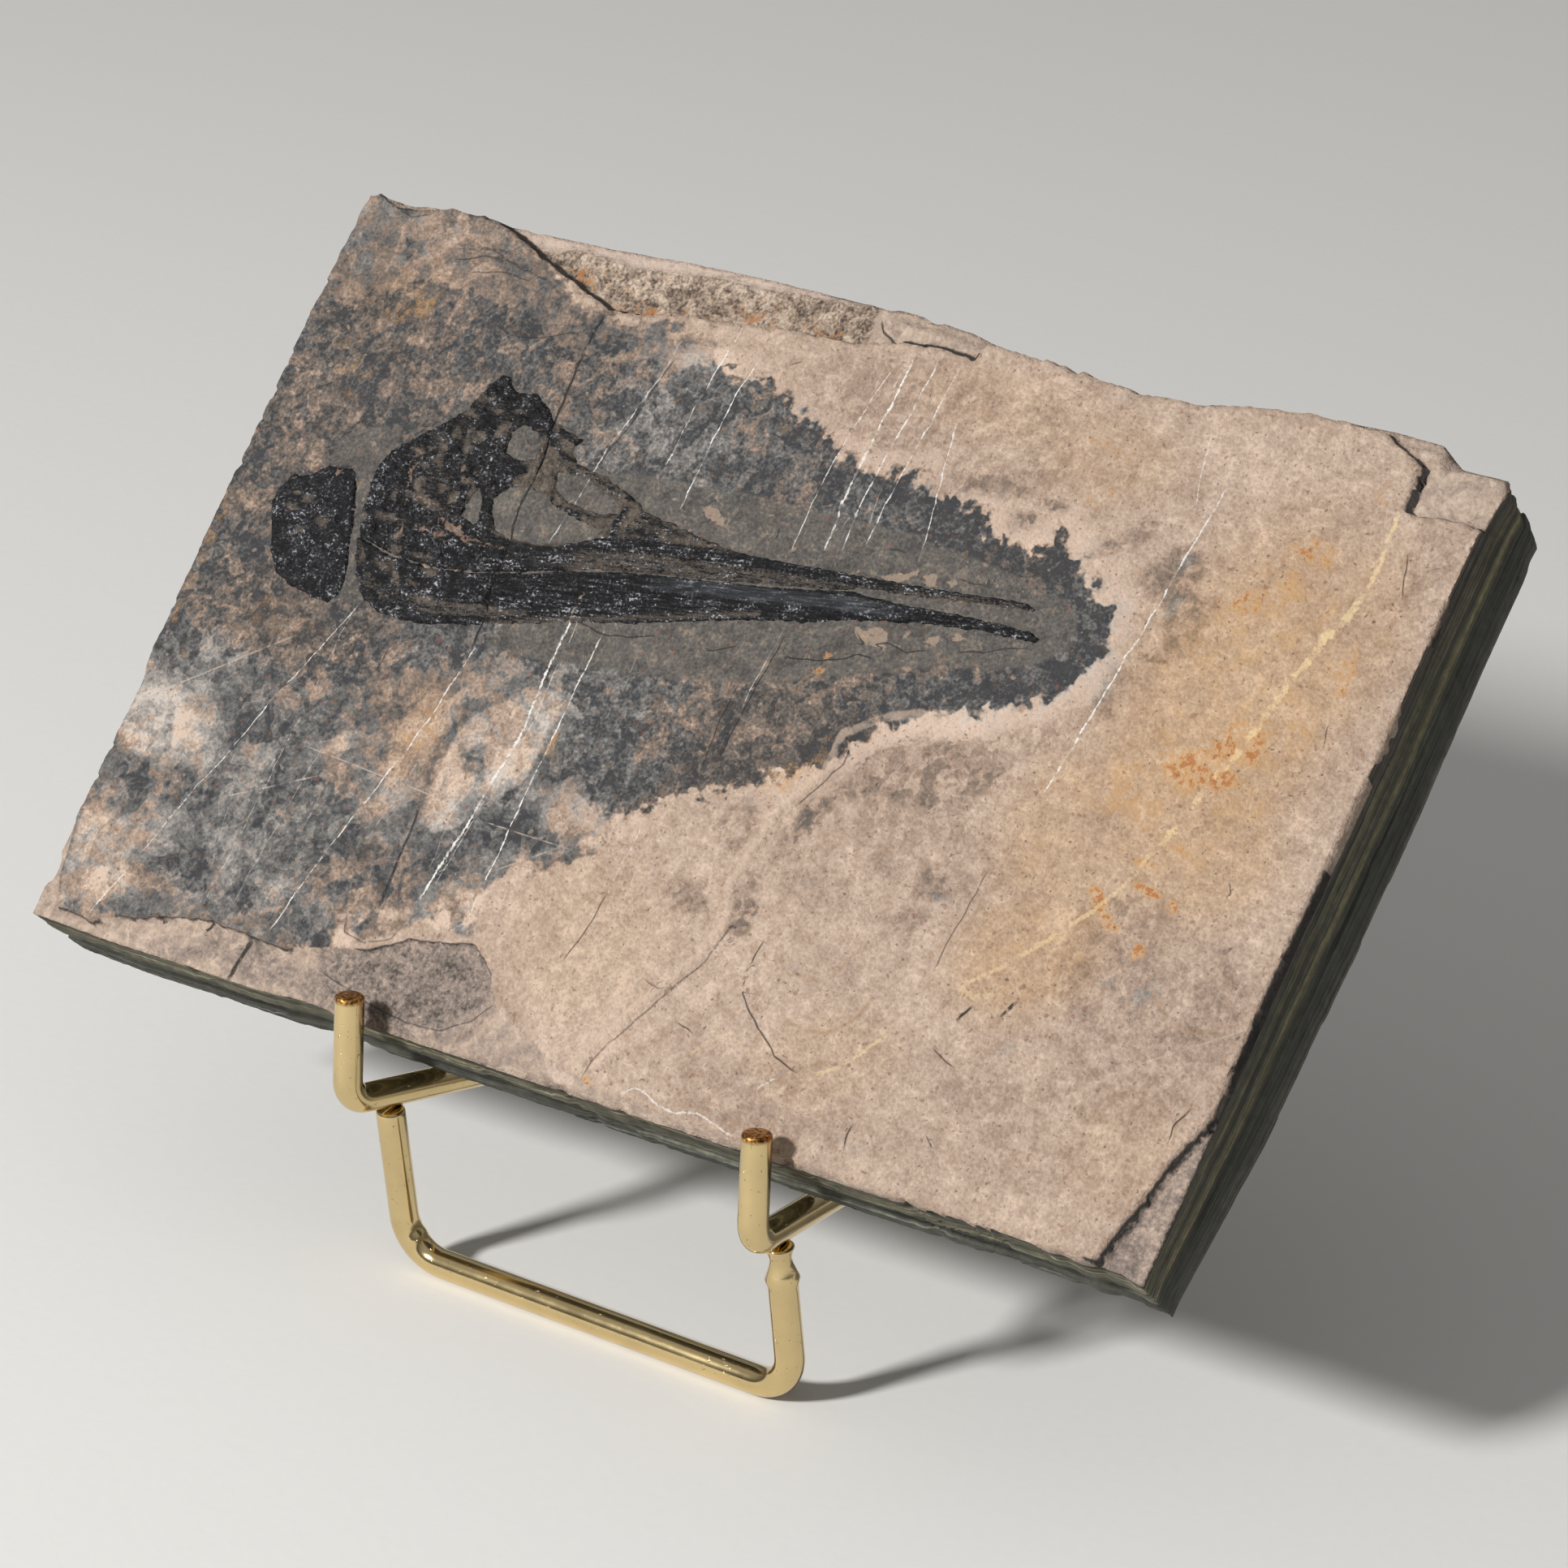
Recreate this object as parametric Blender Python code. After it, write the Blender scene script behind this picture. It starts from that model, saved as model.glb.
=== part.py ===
"""A fossil fish head in a slab of limestone, leaning back in a small wire stand.

Seven solids: the slab, the three fossil pieces set in its face, and the three wires of
the stand. Sizes are in millimetres until new_object turns them into metres. The slab and
its fossils are drawn flat on the slab's own face (x along the bottom edge from its middle,
y up the face, z out of the face), and an empty leans them back. The stand is drawn where
it stands.
"""
import math
import random

import bmesh
import bpy
from mathutils import Matrix, Vector, noise

MM = 0.001
GAP = 0.3                     # left between pieces that touch

# The slab, leaning back in the stand
SLAB_LEAN = 41.9              # degrees back from upright
SLAB_EDGE_Y = -34.4           # its front bottom edge
SLAB_EDGE_Z = 31.4
FACE_RUSTY = -1.6             # depth of the rusty ledge below the face
FACE_PALE = -2.1              # depth of the pale strip beyond it
OVERLAP = 0.4                 # each layer runs this far into the one behind it

SLAB_THICKNESS = 13.8

# The beds behind the face: front, back, how far the edge is worn in all round and how much more
# along the bottom, and how deep it is chipped
BEDS = {
    "back_bed": (-11.0, -SLAB_THICKNESS, 0.3, 0.6, 0.5),
    "dark_bed": (-8.6, -11.4, 0.0, -0.2, 0.6),
    "olive_bed": (-6.0, -9.0, 0.5, 0.0, 0.4),
    "grey_bed": (-3.4, -6.4, 0.0, 0.0, 0.5),
    "pale_bed": (FACE_RUSTY, -3.8, 0.0, 0.0, 0.3),
}

# How far the right side slopes in by the time it reaches the back, at each height up the face
RIGHT_SLOPE = ((0.0, 2.3), (20.0, 0.6), (40.0, 0.0), (84.0, 0.2), (90.0, 1.4))

# The outline of the whole stone, and of its top bed, parts of which have flaked away
STONE = (
    (-76.1, 0.0), (-65.0, -1.0), (-52.0, -1.1), (-38.0, -0.7), (-29.0, -0.1), (-20.0, 0.0), (10.0, 0.2),
    (38.0, 0.5), (58.0, 0.8), (73.2, 0.5), (73.8, 20.0), (74.4, 42.0), (75.0, 57.0), (75.3, 74.0), (75.7, 84.0),
    (76.7, 88.5), (75.8, 90.1), (70.4, 90.1), (67.3, 92.2), (61.5, 92.5), (52.0, 92.2), (45.0, 91.4),
    (33.0, 90.1), (20.0, 91.1), (12.0, 91.9), (9.0, 92.6), (1.0, 93.6), (-5.0, 93.5), (-18.0, 94.0),
    (-30.0, 94.0), (-40.0, 93.1), (-48.0, 92.9), (-60.0, 93.6), (-69.0, 93.5), (-76.4, 92.9),
    (-76.6, 80.0), (-76.5, 40.0), (-75.9, 28.0), (-76.1, 10.0))
TOP_BED = (
    (-71.8, 1.6), (-67.0, 1.3), (-63.0, 2.8), (-58.0, 4.2), (-52.0, 5.6), (-46.0, 5.4), (-40.5, 5.2),
    (-36.0, 6.5), (-30.0, 7.9), (-25.0, 10.4), (-16.8, 12.2), (-13.5, 10.0), (-11.0, 6.6), (-6.0, 4.4),
    (-0.5, 2.8), (6.0, 1.4), (20.0, 1.2), (40.0, 0.9), (60.0, 0.8), (67.8, 1.4), (70.0, 8.5),
    (71.0, 12.5), (73.2, 17.5), (74.2, 19.2), (74.0, 34.0), (74.2, 45.0), (75.0, 60.0), (75.2, 74.0),
    (75.8, 83.8), (73.0, 84.0), (66.5, 83.7), (66.5, 88.9), (64.5, 89.8), (61.3, 91.5), (52.0, 91.8),
    (45.0, 91.1), (40.0, 90.1), (33.0, 89.8), (27.0, 90.3), (20.0, 91.0), (12.2, 91.3), (11.2, 89.0),
    (7.0, 89.7), (2.0, 89.2), (-4.0, 87.9), (-12.0, 87.7), (-20.0, 86.9), (-28.0, 86.3), (-34.0, 85.2),
    (-36.5, 85.1), (-45.0, 88.0), (-55.0, 91.9), (-58.5, 92.8), (-62.0, 93.0), (-65.3, 92.3),
    (-68.0, 91.4), (-71.0, 91.5), (-73.6, 92.4), (-75.3, 92.3), (-75.8, 80.0), (-75.7, 50.0),
    (-75.5, 32.0), (-74.8, 28.0), (-75.0, 12.0), (-74.2, 8.5), (-73.5, 5.0))
PALE_STRIP = (
    (-63.0, 97.0), (-56.0, 92.4), (-51.0, 90.7), (-48.0, 90.9), (-45.0, 91.8), (-41.0, 91.5),
    (-36.0, 91.1), (-31.0, 91.7), (-23.0, 92.4), (-21.0, 91.9), (-16.0, 92.5), (-6.0, 92.9), (11.0, 97.0))

# Flakes that stand between the ledges and the face: the outline and the level of each
FLAKES = {
    "top_flake": (((-2.5, 91.9), (0.0, 90.6), (2.8, 88.8), (11.4, 88.4), (12.8, 91.1), (5.0, 91.9)), -0.7),
    "corner_flake": (((62.0, 91.4), (64.7, 90.2), (66.9, 89.6), (69.2, 90.2), (68.3, 91.1)), -0.4),
    "corner_block": (((67.2, 82.5), (75.6, 82.5), (76.5, 88.4), (75.6, 89.9), (67.1, 89.6)), -0.9),
    "foot_patch": (((-35.0, 6.0), (-34.0, 3.0), (-31.0, 1.8), (-20.0, 0.6), (-15.0, 1.4), (-12.4, 3.5),
                    (-10.5, 6.5), (-13.0, 10.5), (-16.5, 13.0), (-26.0, 11.5)), -0.7),
    "foot_flake": (((-13.8, 0.7), (8.0, 0.6), (8.0, 3.0), (0.0, 4.0), (-10.0, 7.5), (-11.8, 3.8)), -0.45),
    "left_flake": (((-65.0, 1.0), (-52.0, 0.6), (-50.8, 3.0), (-50.5, 6.5), (-60.0, 5.5), (-64.0, 3.5)), -1.1),
}

# The fossil pieces. The seam is the line where the upper and the lower jaw meet.
POCKET_FLOOR = -1.4
BONE_FLOOR = POCKET_FLOOR + GAP
SEAM = (
    (-55.3, 52.2), (-50.0, 51.1), (-44.0, 50.9), (-38.0, 51.7), (-32.0, 53.1), (-26.0, 54.8),
    (-20.0, 56.1), (-14.0, 57.1), (-8.0, 57.9), (0.0, 59.1), (5.0, 60.0), (9.0, 60.8))
SNOUT_UNDER = ((10.0, 61.3), (15.0, 61.8), (20.0, 62.4), (25.0, 63.0), (31.0, 63.5))
SNOUT_TOP = (
    (-32.6, 68.0), (-31.0, 66.9), (-27.0, 66.3), (-23.0, 65.0), (-20.0, 63.6), (-15.0, 62.9), (-10.0, 62.1),
    (-5.0, 61.8), (0.0, 62.1), (10.0, 62.8), (20.0, 63.5), (30.0, 64.5), (31.6, 63.9))
SKULL_BACK = (
    (-32.0, 69.8), (-36.5, 70.9), (-38.4, 72.4), (-40.5, 73.8), (-43.6, 73.2), (-45.0, 74.8), (-46.4, 74.8),
    (-47.5, 73.0), (-48.6, 70.2), (-50.4, 68.0), (-53.5, 65.4), (-56.0, 63.2), (-57.1, 59.8), (-56.6, 57.5),
    (-56.3, 55.0), (-55.6, 53.2))
JAW_TOP = ((14.0, 60.8), (20.0, 61.2), (26.0, 61.5), (32.0, 61.6), (33.2, 61.0))
JAW_UNDER = (
    (-55.0, 51.0), (-54.3, 49.6), (-53.2, 47.8), (-52.0, 46.2), (-50.5, 45.1), (-48.0, 44.4), (-45.0, 44.2),
    (-42.0, 44.4), (-39.0, 45.0), (-35.0, 45.9), (-30.5, 47.0), (-25.0, 48.6), (-20.0, 49.8), (-15.0, 51.0),
    (-10.0, 52.4), (-5.0, 53.8), (0.0, 55.0), (5.0, 56.0), (10.0, 57.4), (15.0, 58.6), (20.0, 59.5),
    (26.0, 60.1), (33.0, 60.4))
GILL_COVER = (
    (-68.8, 53.0), (-67.3, 50.5), (-66.0, 47.8), (-64.0, 45.6), (-61.0, 44.4), (-58.0, 43.9), (-55.2, 43.8),
    (-54.1, 45.2), (-54.3, 47.2), (-55.1, 49.4), (-56.0, 51.2), (-56.6, 53.2), (-57.4, 55.3), (-58.3, 57.2),
    (-59.4, 59.2), (-60.3, 59.6), (-63.5, 59.3), (-65.5, 57.6), (-67.7, 57.2), (-68.9, 55.2))
GILL_MIDDLE = Vector((-61.5, 51.5))
GILL_SIZE = 8.2
WINDOWS = {
    "eye_window": (
        (-40.0, 60.5), (-39.0, 58.6), (-37.8, 57.2), (-36.0, 56.7), (-32.0, 56.9), (-28.0, 57.9), (-25.2, 58.9),
        (-25.0, 60.0), (-27.5, 60.4), (-31.5, 61.3), (-33.5, 62.2), (-36.0, 62.6), (-38.5, 62.0)),
    "roof_window": (
        (-41.0, 66.0), (-38.8, 65.7), (-37.2, 66.2), (-37.2, 67.6), (-38.4, 69.2), (-40.4, 69.6), (-41.4, 68.4)),
    "cheek_window": ((-43.2, 57.7), (-40.8, 57.0), (-41.2, 59.4), (-42.4, 61.2)),
    "snout_window": (
        (-33.2, 65.2), (-32.6, 63.6), (-30.5, 62.4), (-26.0, 62.0), (-23.2, 62.6), (-24.2, 63.6), (-26.5, 64.5),
        (-30.0, 65.5)),
}
TOOTH_PITCH = 1.9
TOOTH_DEPTH = 0.35

# The stand
WIRE_RADIUS = 1.62
WIRE_SIDES = 12
WIRE_FLAT = WIRE_RADIUS * math.cos(math.pi / WIRE_SIDES)    # from the wire's middle to one of its flats
CHAMFER = 0.3                 # on the wire's cut ends
STAND_X = 1.1                 # the stand's middle, a little to the right of the slab's
HOOK_X = 27.3                 # half the distance between the two hooks
HOOK_Y = -37.0
HOOK_Z = 23.0
HOOK_TOP_Z = 35.3
HOOK_LEAN = 4.4               # degrees back from upright
HOOK_BEND = 2.7               # radius of the bend, at the wire's middle
ARM_DROP = 8.6                # degrees down towards the back
ARM_END_X = 17.9
ARM_END_Y = 21.8
REAR_FOOT_Y = 23.8
LEG_X = 26.4
LEG_Y = -28.7
LEG_TOP_Y = -31.1
LEG_BEND = 4.8
REST_FOOT_Y = 9.3
REST_TOP_X = 13.0
REST_HEIGHT = 64.0            # how far up the slab's back it touches
REST_BEND = 8.0


def clear_scene():
    for old in list(bpy.data.objects):
        bpy.data.objects.remove(old, do_unlink=True)


def material(name, colour, roughness, metallic=0.0):
    made = bpy.data.materials.new(name)
    made.use_nodes = True
    shader = made.node_tree.nodes["Principled BSDF"]
    shader.inputs["Base Color"].default_value = (*colour, 1.0)
    shader.inputs["Roughness"].default_value = roughness
    shader.inputs["Metallic"].default_value = metallic
    return made


def new_object(name, bm, parent=None, finish=None):
    """Turn a bmesh, drawn in millimetres, into an object in metres."""
    bmesh.ops.recalc_face_normals(bm, faces=bm.faces)
    bmesh.ops.scale(bm, vec=(MM, MM, MM), verts=bm.verts)
    mesh = bpy.data.meshes.new(name)
    bm.to_mesh(mesh)
    bm.free()
    made = bpy.data.objects.new(name, mesh)
    bpy.context.scene.collection.objects.link(made)
    made.parent = parent
    if finish:
        mesh.materials.append(finish)
    return made


def combine(target, other, operation):
    """Join or cut one solid by another, which becomes a guide and is no piece of the object."""
    other.hide_render = True
    other.display_type = "WIRE"
    step = target.modifiers.new(other.name, "BOOLEAN")
    step.solver = "EXACT"
    step.operation = operation
    step.object = other


# Outlines: points on the slab's face that run once round the material

def anticlockwise(outline):
    points = [Vector(point) for point in outline]
    area = sum(here.cross(after) for here, after in zip(points, points[1:] + points[:1]))
    return points if area > 0.0 else points[::-1]


def chipped(outline, step, depth, seed):
    """Break up the edges of an outline, each new point knocked a little way inward."""
    dice = random.Random(seed)
    points = anticlockwise(outline)
    broken = []
    for start, end in zip(points, points[1:] + points[:1]):
        edge = end - start
        inward = Vector((-edge.y, edge.x)).normalized()
        parts = max(1, round(edge.length / step))
        broken.append(start)
        for part in range(1, parts):
            broken.append(start + edge * (part / parts) + inward * dice.uniform(0.0, depth))
    return broken


def grown(outline, amount):
    """Move every edge of an outline outward by the same amount."""
    points = anticlockwise(outline)
    moved = []
    for before, here, after in zip(points[-1:] + points[:-1], points, points[1:] + points[:1]):
        first = (here - before).normalized()
        second = (after - here).normalized()
        outward = Vector((first.y + second.y, -first.x - second.x)).normalized()
        square_on = outward.dot(Vector((first.y, -first.x)))
        moved.append(here + outward * (amount / max(0.5, square_on)))
    return moved


def toothed(line, root_offset):
    """Teeth along a line: their tips are on it, and their roots lie off it by root_offset in y."""
    points = []
    for start, end in zip(line, line[1:]):
        edge = Vector(end) - Vector(start)
        count = max(1, round(edge.length / TOOTH_PITCH))
        for tooth in range(count):
            tip = Vector(start) + edge * (tooth / count)
            root = Vector(start) + edge * ((tooth + 0.5) / count)
            points += [tip, root + Vector((0.0, root_offset))]
    return points + [Vector(line[-1])]


def shifted(line, offset):
    return [Vector((x, y + offset)) for x, y in line]


def height_on(line, x):
    """The y of an open line at x. The line runs from left to right."""
    for (x0, y0), (x1, y1) in zip(line, line[1:]):
        if x <= x1:
            return y0 + (y1 - y0) * max(0.0, (x - x0) / (x1 - x0))
    return line[-1][1]


def skull_outline():
    seam = shifted(SEAM, GAP / 2)
    jaw_line = seam[:6] + toothed(seam[5:], TOOTH_DEPTH)[1:]
    return jaw_line + toothed(SNOUT_UNDER, TOOTH_DEPTH / 2) + list(SNOUT_TOP[::-1]) + list(SKULL_BACK)


def jaw_outline():
    seam = shifted(SEAM, -GAP / 2)
    jaw_line = seam[:6] + toothed(seam[5:], -TOOTH_DEPTH)[1:] + toothed(JAW_TOP[:-1], -TOOTH_DEPTH / 2)
    return list(JAW_UNDER) + [Vector(JAW_TOP[-1])] + jaw_line[::-1]


# Solids on the slab's face

def prism(name, outline, low, high, parent, finish=None):
    bm = bmesh.new()
    floor = bm.faces.new([bm.verts.new((x, y, low)) for x, y in outline])
    raised = bmesh.ops.extrude_face_region(bm, geom=[floor])["geom"]
    tops = [item for item in raised if isinstance(item, bmesh.types.BMVert)]
    bmesh.ops.translate(bm, vec=(0.0, 0.0, high - low), verts=tops)
    return new_object(name, bm, parent, finish)


def relief_block(name, low, high, cells, height, parent, finish):
    """A closed block: its top is a grid of points at height(x, y), its floor is flat."""
    bm = bmesh.new()
    middle = Matrix.Translation(((low[0] + high[0]) / 2, (low[1] + high[1]) / 2, BONE_FLOOR))
    spread = Matrix.Diagonal(((high[0] - low[0]) / 2, (high[1] - low[1]) / 2, 1.0, 1.0))
    bmesh.ops.create_grid(bm, x_segments=cells[0], y_segments=cells[1], size=1.0, matrix=middle @ spread)
    floor = list(bm.faces)
    for item in bmesh.ops.extrude_face_region(bm, geom=floor)["geom"]:
        if isinstance(item, bmesh.types.BMVert):
            item.co.z = height(item.co.x, item.co.y)
    bmesh.ops.dissolve_faces(bm, faces=[face for face in bm.faces if is_floor(face)])
    return new_object(name, bm, parent, finish)


def is_floor(face):
    return all(vert.co.z < BONE_FLOOR + 0.001 for vert in face.verts)


def smooth_step(low, high, value):
    part = min(1.0, max(0.0, (value - low) / (high - low)))
    return part * part * (3.0 - 2.0 * part)


def crushed(x, y):
    """Crushed bone: lumps and pits about 3 mm across."""
    return noise.noise(Vector((x * 0.4, y * 0.4, 0.5)))


def skull_height(x, y):
    """Crushed behind, drawn out into three long ridges towards the snout."""
    across = (y - height_on(SEAM, x)) / (height_on(SNOUT_TOP, x) - height_on(SEAM, x))
    ridges = 0.25 * math.cos(across * 3.0 * math.tau)
    snout = smooth_step(-40.0, -24.0, x)
    return 0.6 + snout * ridges + (1.0 - 0.7 * snout) * 0.45 * crushed(x, y)


def jaw_height(x, y):
    """Two long ridges, the upper one broad and smooth."""
    across = (y - height_on(JAW_UNDER, x)) / (height_on(SEAM, x) - height_on(JAW_UNDER, x) + 0.4)
    ridges = 0.3 * math.cos((across - 0.7) * 1.8 * math.tau)
    return 0.6 + ridges + 0.15 * crushed(x, y)


def gill_height(x, y):
    """A low dome, ribbed round its middle."""
    out = (Vector((x, y)) - GILL_MIDDLE).length / GILL_SIZE
    return 0.75 - 0.35 * out * out + 0.12 * math.cos(out * 3.0 * math.tau) + 0.25 * crushed(x, y)


def bed_outline(back, worn, lift):
    """The stone's outline at this depth, worn in, its right side sloping in towards the back."""
    points = []
    for x, y in grown(STONE, -worn):
        slope = height_on(RIGHT_SLOPE, y) if x > 60.0 else 0.0
        bottom = lift if y < 2.0 else 0.0
        points.append((x + slope * back / SLAB_THICKNESS, y + bottom))
    return points


def build_slab(frame, stone):
    slab = None
    for number, (name, (front, back, worn, lift, depth)) in enumerate(BEDS.items()):
        outline = chipped(bed_outline(back, worn, lift), 4.0, depth, 11 + number)
        if slab is None:
            slab = prism("slab", outline, back, front, frame, stone)
        else:
            combine(slab, prism(name, outline, back, front, frame), "UNION")
    combine(slab, prism("pale_strip", PALE_STRIP, FACE_PALE, 1.0, frame), "DIFFERENCE")
    top_outline = chipped(TOP_BED, 3.2, 0.3, 41)
    combine(slab, prism("top_bed", top_outline, FACE_RUSTY - OVERLAP, 0.0, frame), "UNION")
    for name, (outline, level) in FLAKES.items():
        flake = chipped(outline, 2.6, 0.25, len(name))
        combine(slab, prism(name, flake, FACE_RUSTY - OVERLAP, level, frame), "UNION")
    return slab


def build_fossil_piece(name, outline, windows, block, slab):
    """Cut a rough block of bone to its outline, and its pocket into the slab."""
    combine(block, prism(name + "_edge", outline, BONE_FLOOR - 1.0, 3.0, slab.parent), "INTERSECT")
    pocket = prism(name + "_pocket", grown(outline, GAP), POCKET_FLOOR, 3.0, slab.parent)
    for window, hole in windows.items():
        combine(block, prism(window, hole, BONE_FLOOR - 1.0, 3.0, slab.parent), "DIFFERENCE")
        island = prism(window + "_stone", grown(hole, -GAP), POCKET_FLOOR - 1.0, 4.0, slab.parent)
        combine(pocket, island, "DIFFERENCE")
    combine(slab, pocket, "DIFFERENCE")


def build_fossil(slab, bone):
    frame = slab.parent
    skull = relief_block("skull", (-58.0, 50.0), (33.0, 76.0), (58, 24), skull_height, frame, bone)
    build_fossil_piece("skull", skull_outline(), WINDOWS, skull, slab)
    jaw = relief_block("lower_jaw", (-57.0, 43.0), (35.0, 63.0), (46, 24), jaw_height, frame, bone)
    build_fossil_piece("lower_jaw", jaw_outline(), {}, jaw, slab)
    gill = relief_block("gill_cover", (-70.0, 42.0), (-53.0, 61.0), (12, 13), gill_height, frame, bone)
    build_fossil_piece("gill_cover", GILL_COVER, {}, gill, slab)


# The wires of the stand

def bent(corners, radii, steps=5):
    """A line through the corners, each inner corner rounded to its radius."""
    line = [corners[0]]
    for before, here, after, radius in zip(corners, corners[1:], corners[2:], radii):
        back = (before - here).normalized()
        ahead = (after - here).normalized()
        half = back.angle(ahead) / 2
        middle = here + (back + ahead).normalized() * (radius / math.sin(half))
        start = here + back * (radius / math.tan(half)) - middle
        turn = start.rotation_difference(here + ahead * (radius / math.tan(half)) - middle)
        for step in range(steps + 1):
            partial = turn.copy()
            partial.angle = turn.angle * step / steps
            line.append(middle + partial @ start)
    return line + [corners[-1]]


def with_foot(line):
    """Add two points to the level stretch in the middle of a line, where it stands on the floor."""
    middle = len(line) // 2
    start, end = line[middle - 1], line[middle]
    return line[:middle] + [start.lerp(end, 0.1), start.lerp(end, 0.9)] + line[middle:]


def wire(name, line, finish):
    """A wire of flat-sided section, with a flat facing down in the middle of the line."""
    level_at = len(line) // 2
    directions = [(after - before).normalized() for before, after in zip(line, line[1:])]
    along = [directions[0]]
    along += [(one + two).normalized() for one, two in zip(directions, directions[1:])]
    along.append(directions[-1])
    ups = {level_at: (Vector((0, 0, 1)) - along[level_at] * along[level_at].z).normalized()}
    for index in range(level_at + 1, len(line)):
        ups[index] = along[index - 1].rotation_difference(along[index]) @ ups[index - 1]
    for index in range(level_at - 1, -1, -1):
        ups[index] = along[index + 1].rotation_difference(along[index]) @ ups[index + 1]
    bm = bmesh.new()
    rings = [wire_ring(bm, line[0], along[0], ups[0], WIRE_RADIUS - CHAMFER)]
    for index in range(len(line)):
        rings.append(wire_ring(bm, inner_end(line, index), along[index], ups[index], WIRE_RADIUS))
    rings.append(wire_ring(bm, line[-1], along[-1], ups[len(line) - 1], WIRE_RADIUS - CHAMFER))
    for one, two in zip(rings, rings[1:]):
        for side in range(WIRE_SIDES):
            after = (side + 1) % WIRE_SIDES
            bm.faces.new((one[side], one[after], two[after], two[side]))
    bm.faces.new(rings[0][::-1])
    bm.faces.new(rings[-1])
    made = new_object(name, bm, None, finish)
    made.data.shade_smooth()
    made.data.set_sharp_from_angle(angle=math.radians(40.0))
    return made


def inner_end(line, index):
    """A point of the line; the first and the last are drawn back, which leaves room for a chamfer."""
    if index == 0:
        return line[0] + (line[1] - line[0]).normalized() * CHAMFER
    if index == len(line) - 1:
        return line[-1] + (line[-2] - line[-1]).normalized() * CHAMFER
    return line[index]


def wire_ring(bm, middle, along, up, radius):
    side = along.cross(up)
    ring = []
    for corner in range(WIRE_SIDES):
        angle = (corner + 0.5) * math.tau / WIRE_SIDES
        spoke = up * math.cos(angle) + side * math.sin(angle)
        ring.append(bm.verts.new(middle + spoke * radius))
    return ring


def mirrored(half):
    """The corners of the left half, then those of the right half in reverse."""
    right = [Vector((2 * STAND_X - point.x, point.y, point.z)) for point in reversed(half)]
    return half + right


def arm_z(y):
    """The height of the arms' middle line."""
    return HOOK_Z - (y - HOOK_Y) * math.tan(math.radians(ARM_DROP))


def arm_x(y):
    return HOOK_X + (ARM_END_X - HOOK_X) * (y - HOOK_Y) / (ARM_END_Y - HOOK_Y)


def build_cradle(brass):
    hook_top_y = HOOK_Y + (HOOK_TOP_Z - HOOK_Z) * math.tan(math.radians(HOOK_LEAN))
    half = [
        Vector((STAND_X - HOOK_X, hook_top_y, HOOK_TOP_Z)),
        Vector((STAND_X - HOOK_X, HOOK_Y, HOOK_Z)),
        Vector((STAND_X - ARM_END_X, ARM_END_Y, arm_z(ARM_END_Y))),
        Vector((STAND_X - ARM_END_X, REAR_FOOT_Y, WIRE_FLAT)),
    ]
    line = bent(mirrored(half), (HOOK_BEND, LEG_BEND, LEG_BEND, LEG_BEND, LEG_BEND, HOOK_BEND))
    wire("cradle", with_foot(line), brass)


def build_front_leg(brass):
    under_arm = arm_z(LEG_TOP_Y) - WIRE_RADIUS / math.cos(math.radians(ARM_DROP))
    leg_lean = (LEG_Y - LEG_TOP_Y) / under_arm
    end_slant = WIRE_RADIUS * (leg_lean + math.tan(math.radians(ARM_DROP)))
    half = [
        Vector((STAND_X - LEG_X, LEG_TOP_Y, under_arm - end_slant - GAP)),
        Vector((STAND_X - LEG_X, LEG_Y, WIRE_FLAT)),
    ]
    wire("front_leg", with_foot(bent(mirrored(half), (LEG_BEND, LEG_BEND))), brass)


def build_back_rest(brass):
    lean = math.radians(SLAB_LEAN)
    up_slab = Vector((0.0, math.sin(lean), math.cos(lean)))
    out_of_back = Vector((0.0, math.cos(lean), -math.sin(lean)))
    edge = Vector((0.0, SLAB_EDGE_Y, SLAB_EDGE_Z))
    touch = edge + up_slab * REST_HEIGHT + out_of_back * (SLAB_THICKNESS + WIRE_RADIUS + GAP)
    foot_z = arm_z(REST_FOOT_Y) + WIRE_RADIUS / math.cos(math.radians(ARM_DROP)) + 2 * GAP
    half = [
        Vector((STAND_X - arm_x(REST_FOOT_Y), REST_FOOT_Y, foot_z)),
        Vector((STAND_X - REST_TOP_X, touch.y, touch.z)),
    ]
    wire("back_rest", with_foot(bent(mirrored(half), (REST_BEND, REST_BEND))), brass)


def main():
    clear_scene()
    stone = material("limestone", (0.33, 0.27, 0.22), 0.85)
    bone = material("fossil_bone", (0.02, 0.02, 0.022), 0.45)
    brass = material("brass_plated_wire", (0.80, 0.62, 0.30), 0.2, 1.0)
    frame = bpy.data.objects.new("slab_frame", None)
    bpy.context.scene.collection.objects.link(frame)
    frame.location = (0.0, SLAB_EDGE_Y * MM, SLAB_EDGE_Z * MM)
    frame.rotation_euler = (math.radians(90.0 - SLAB_LEAN), 0.0, 0.0)
    slab = build_slab(frame, stone)
    build_fossil(slab, bone)
    build_cradle(brass)
    build_front_leg(brass)
    build_back_rest(brass)


if __name__ == "__main__":
    main()
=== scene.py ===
"""A long-snouted fossil fish head in a slab of limestone, on a small brass-plated wire stand.

The slab and its fossils are drawn flat, in millimetres, on the slab's own face: x runs
along the bottom edge from its middle, y up the face and z out of it. The objects are then
leaned back. The stand is drawn where it stands, with z up from the floor.
"""
import math
from functools import partial

import bpy
import numpy as np
from bpy.props import FloatProperty, FloatVectorProperty, PointerProperty
from bpy.types import Operator, Panel, PropertyGroup
from mathutils import Euler, Matrix, Vector


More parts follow.
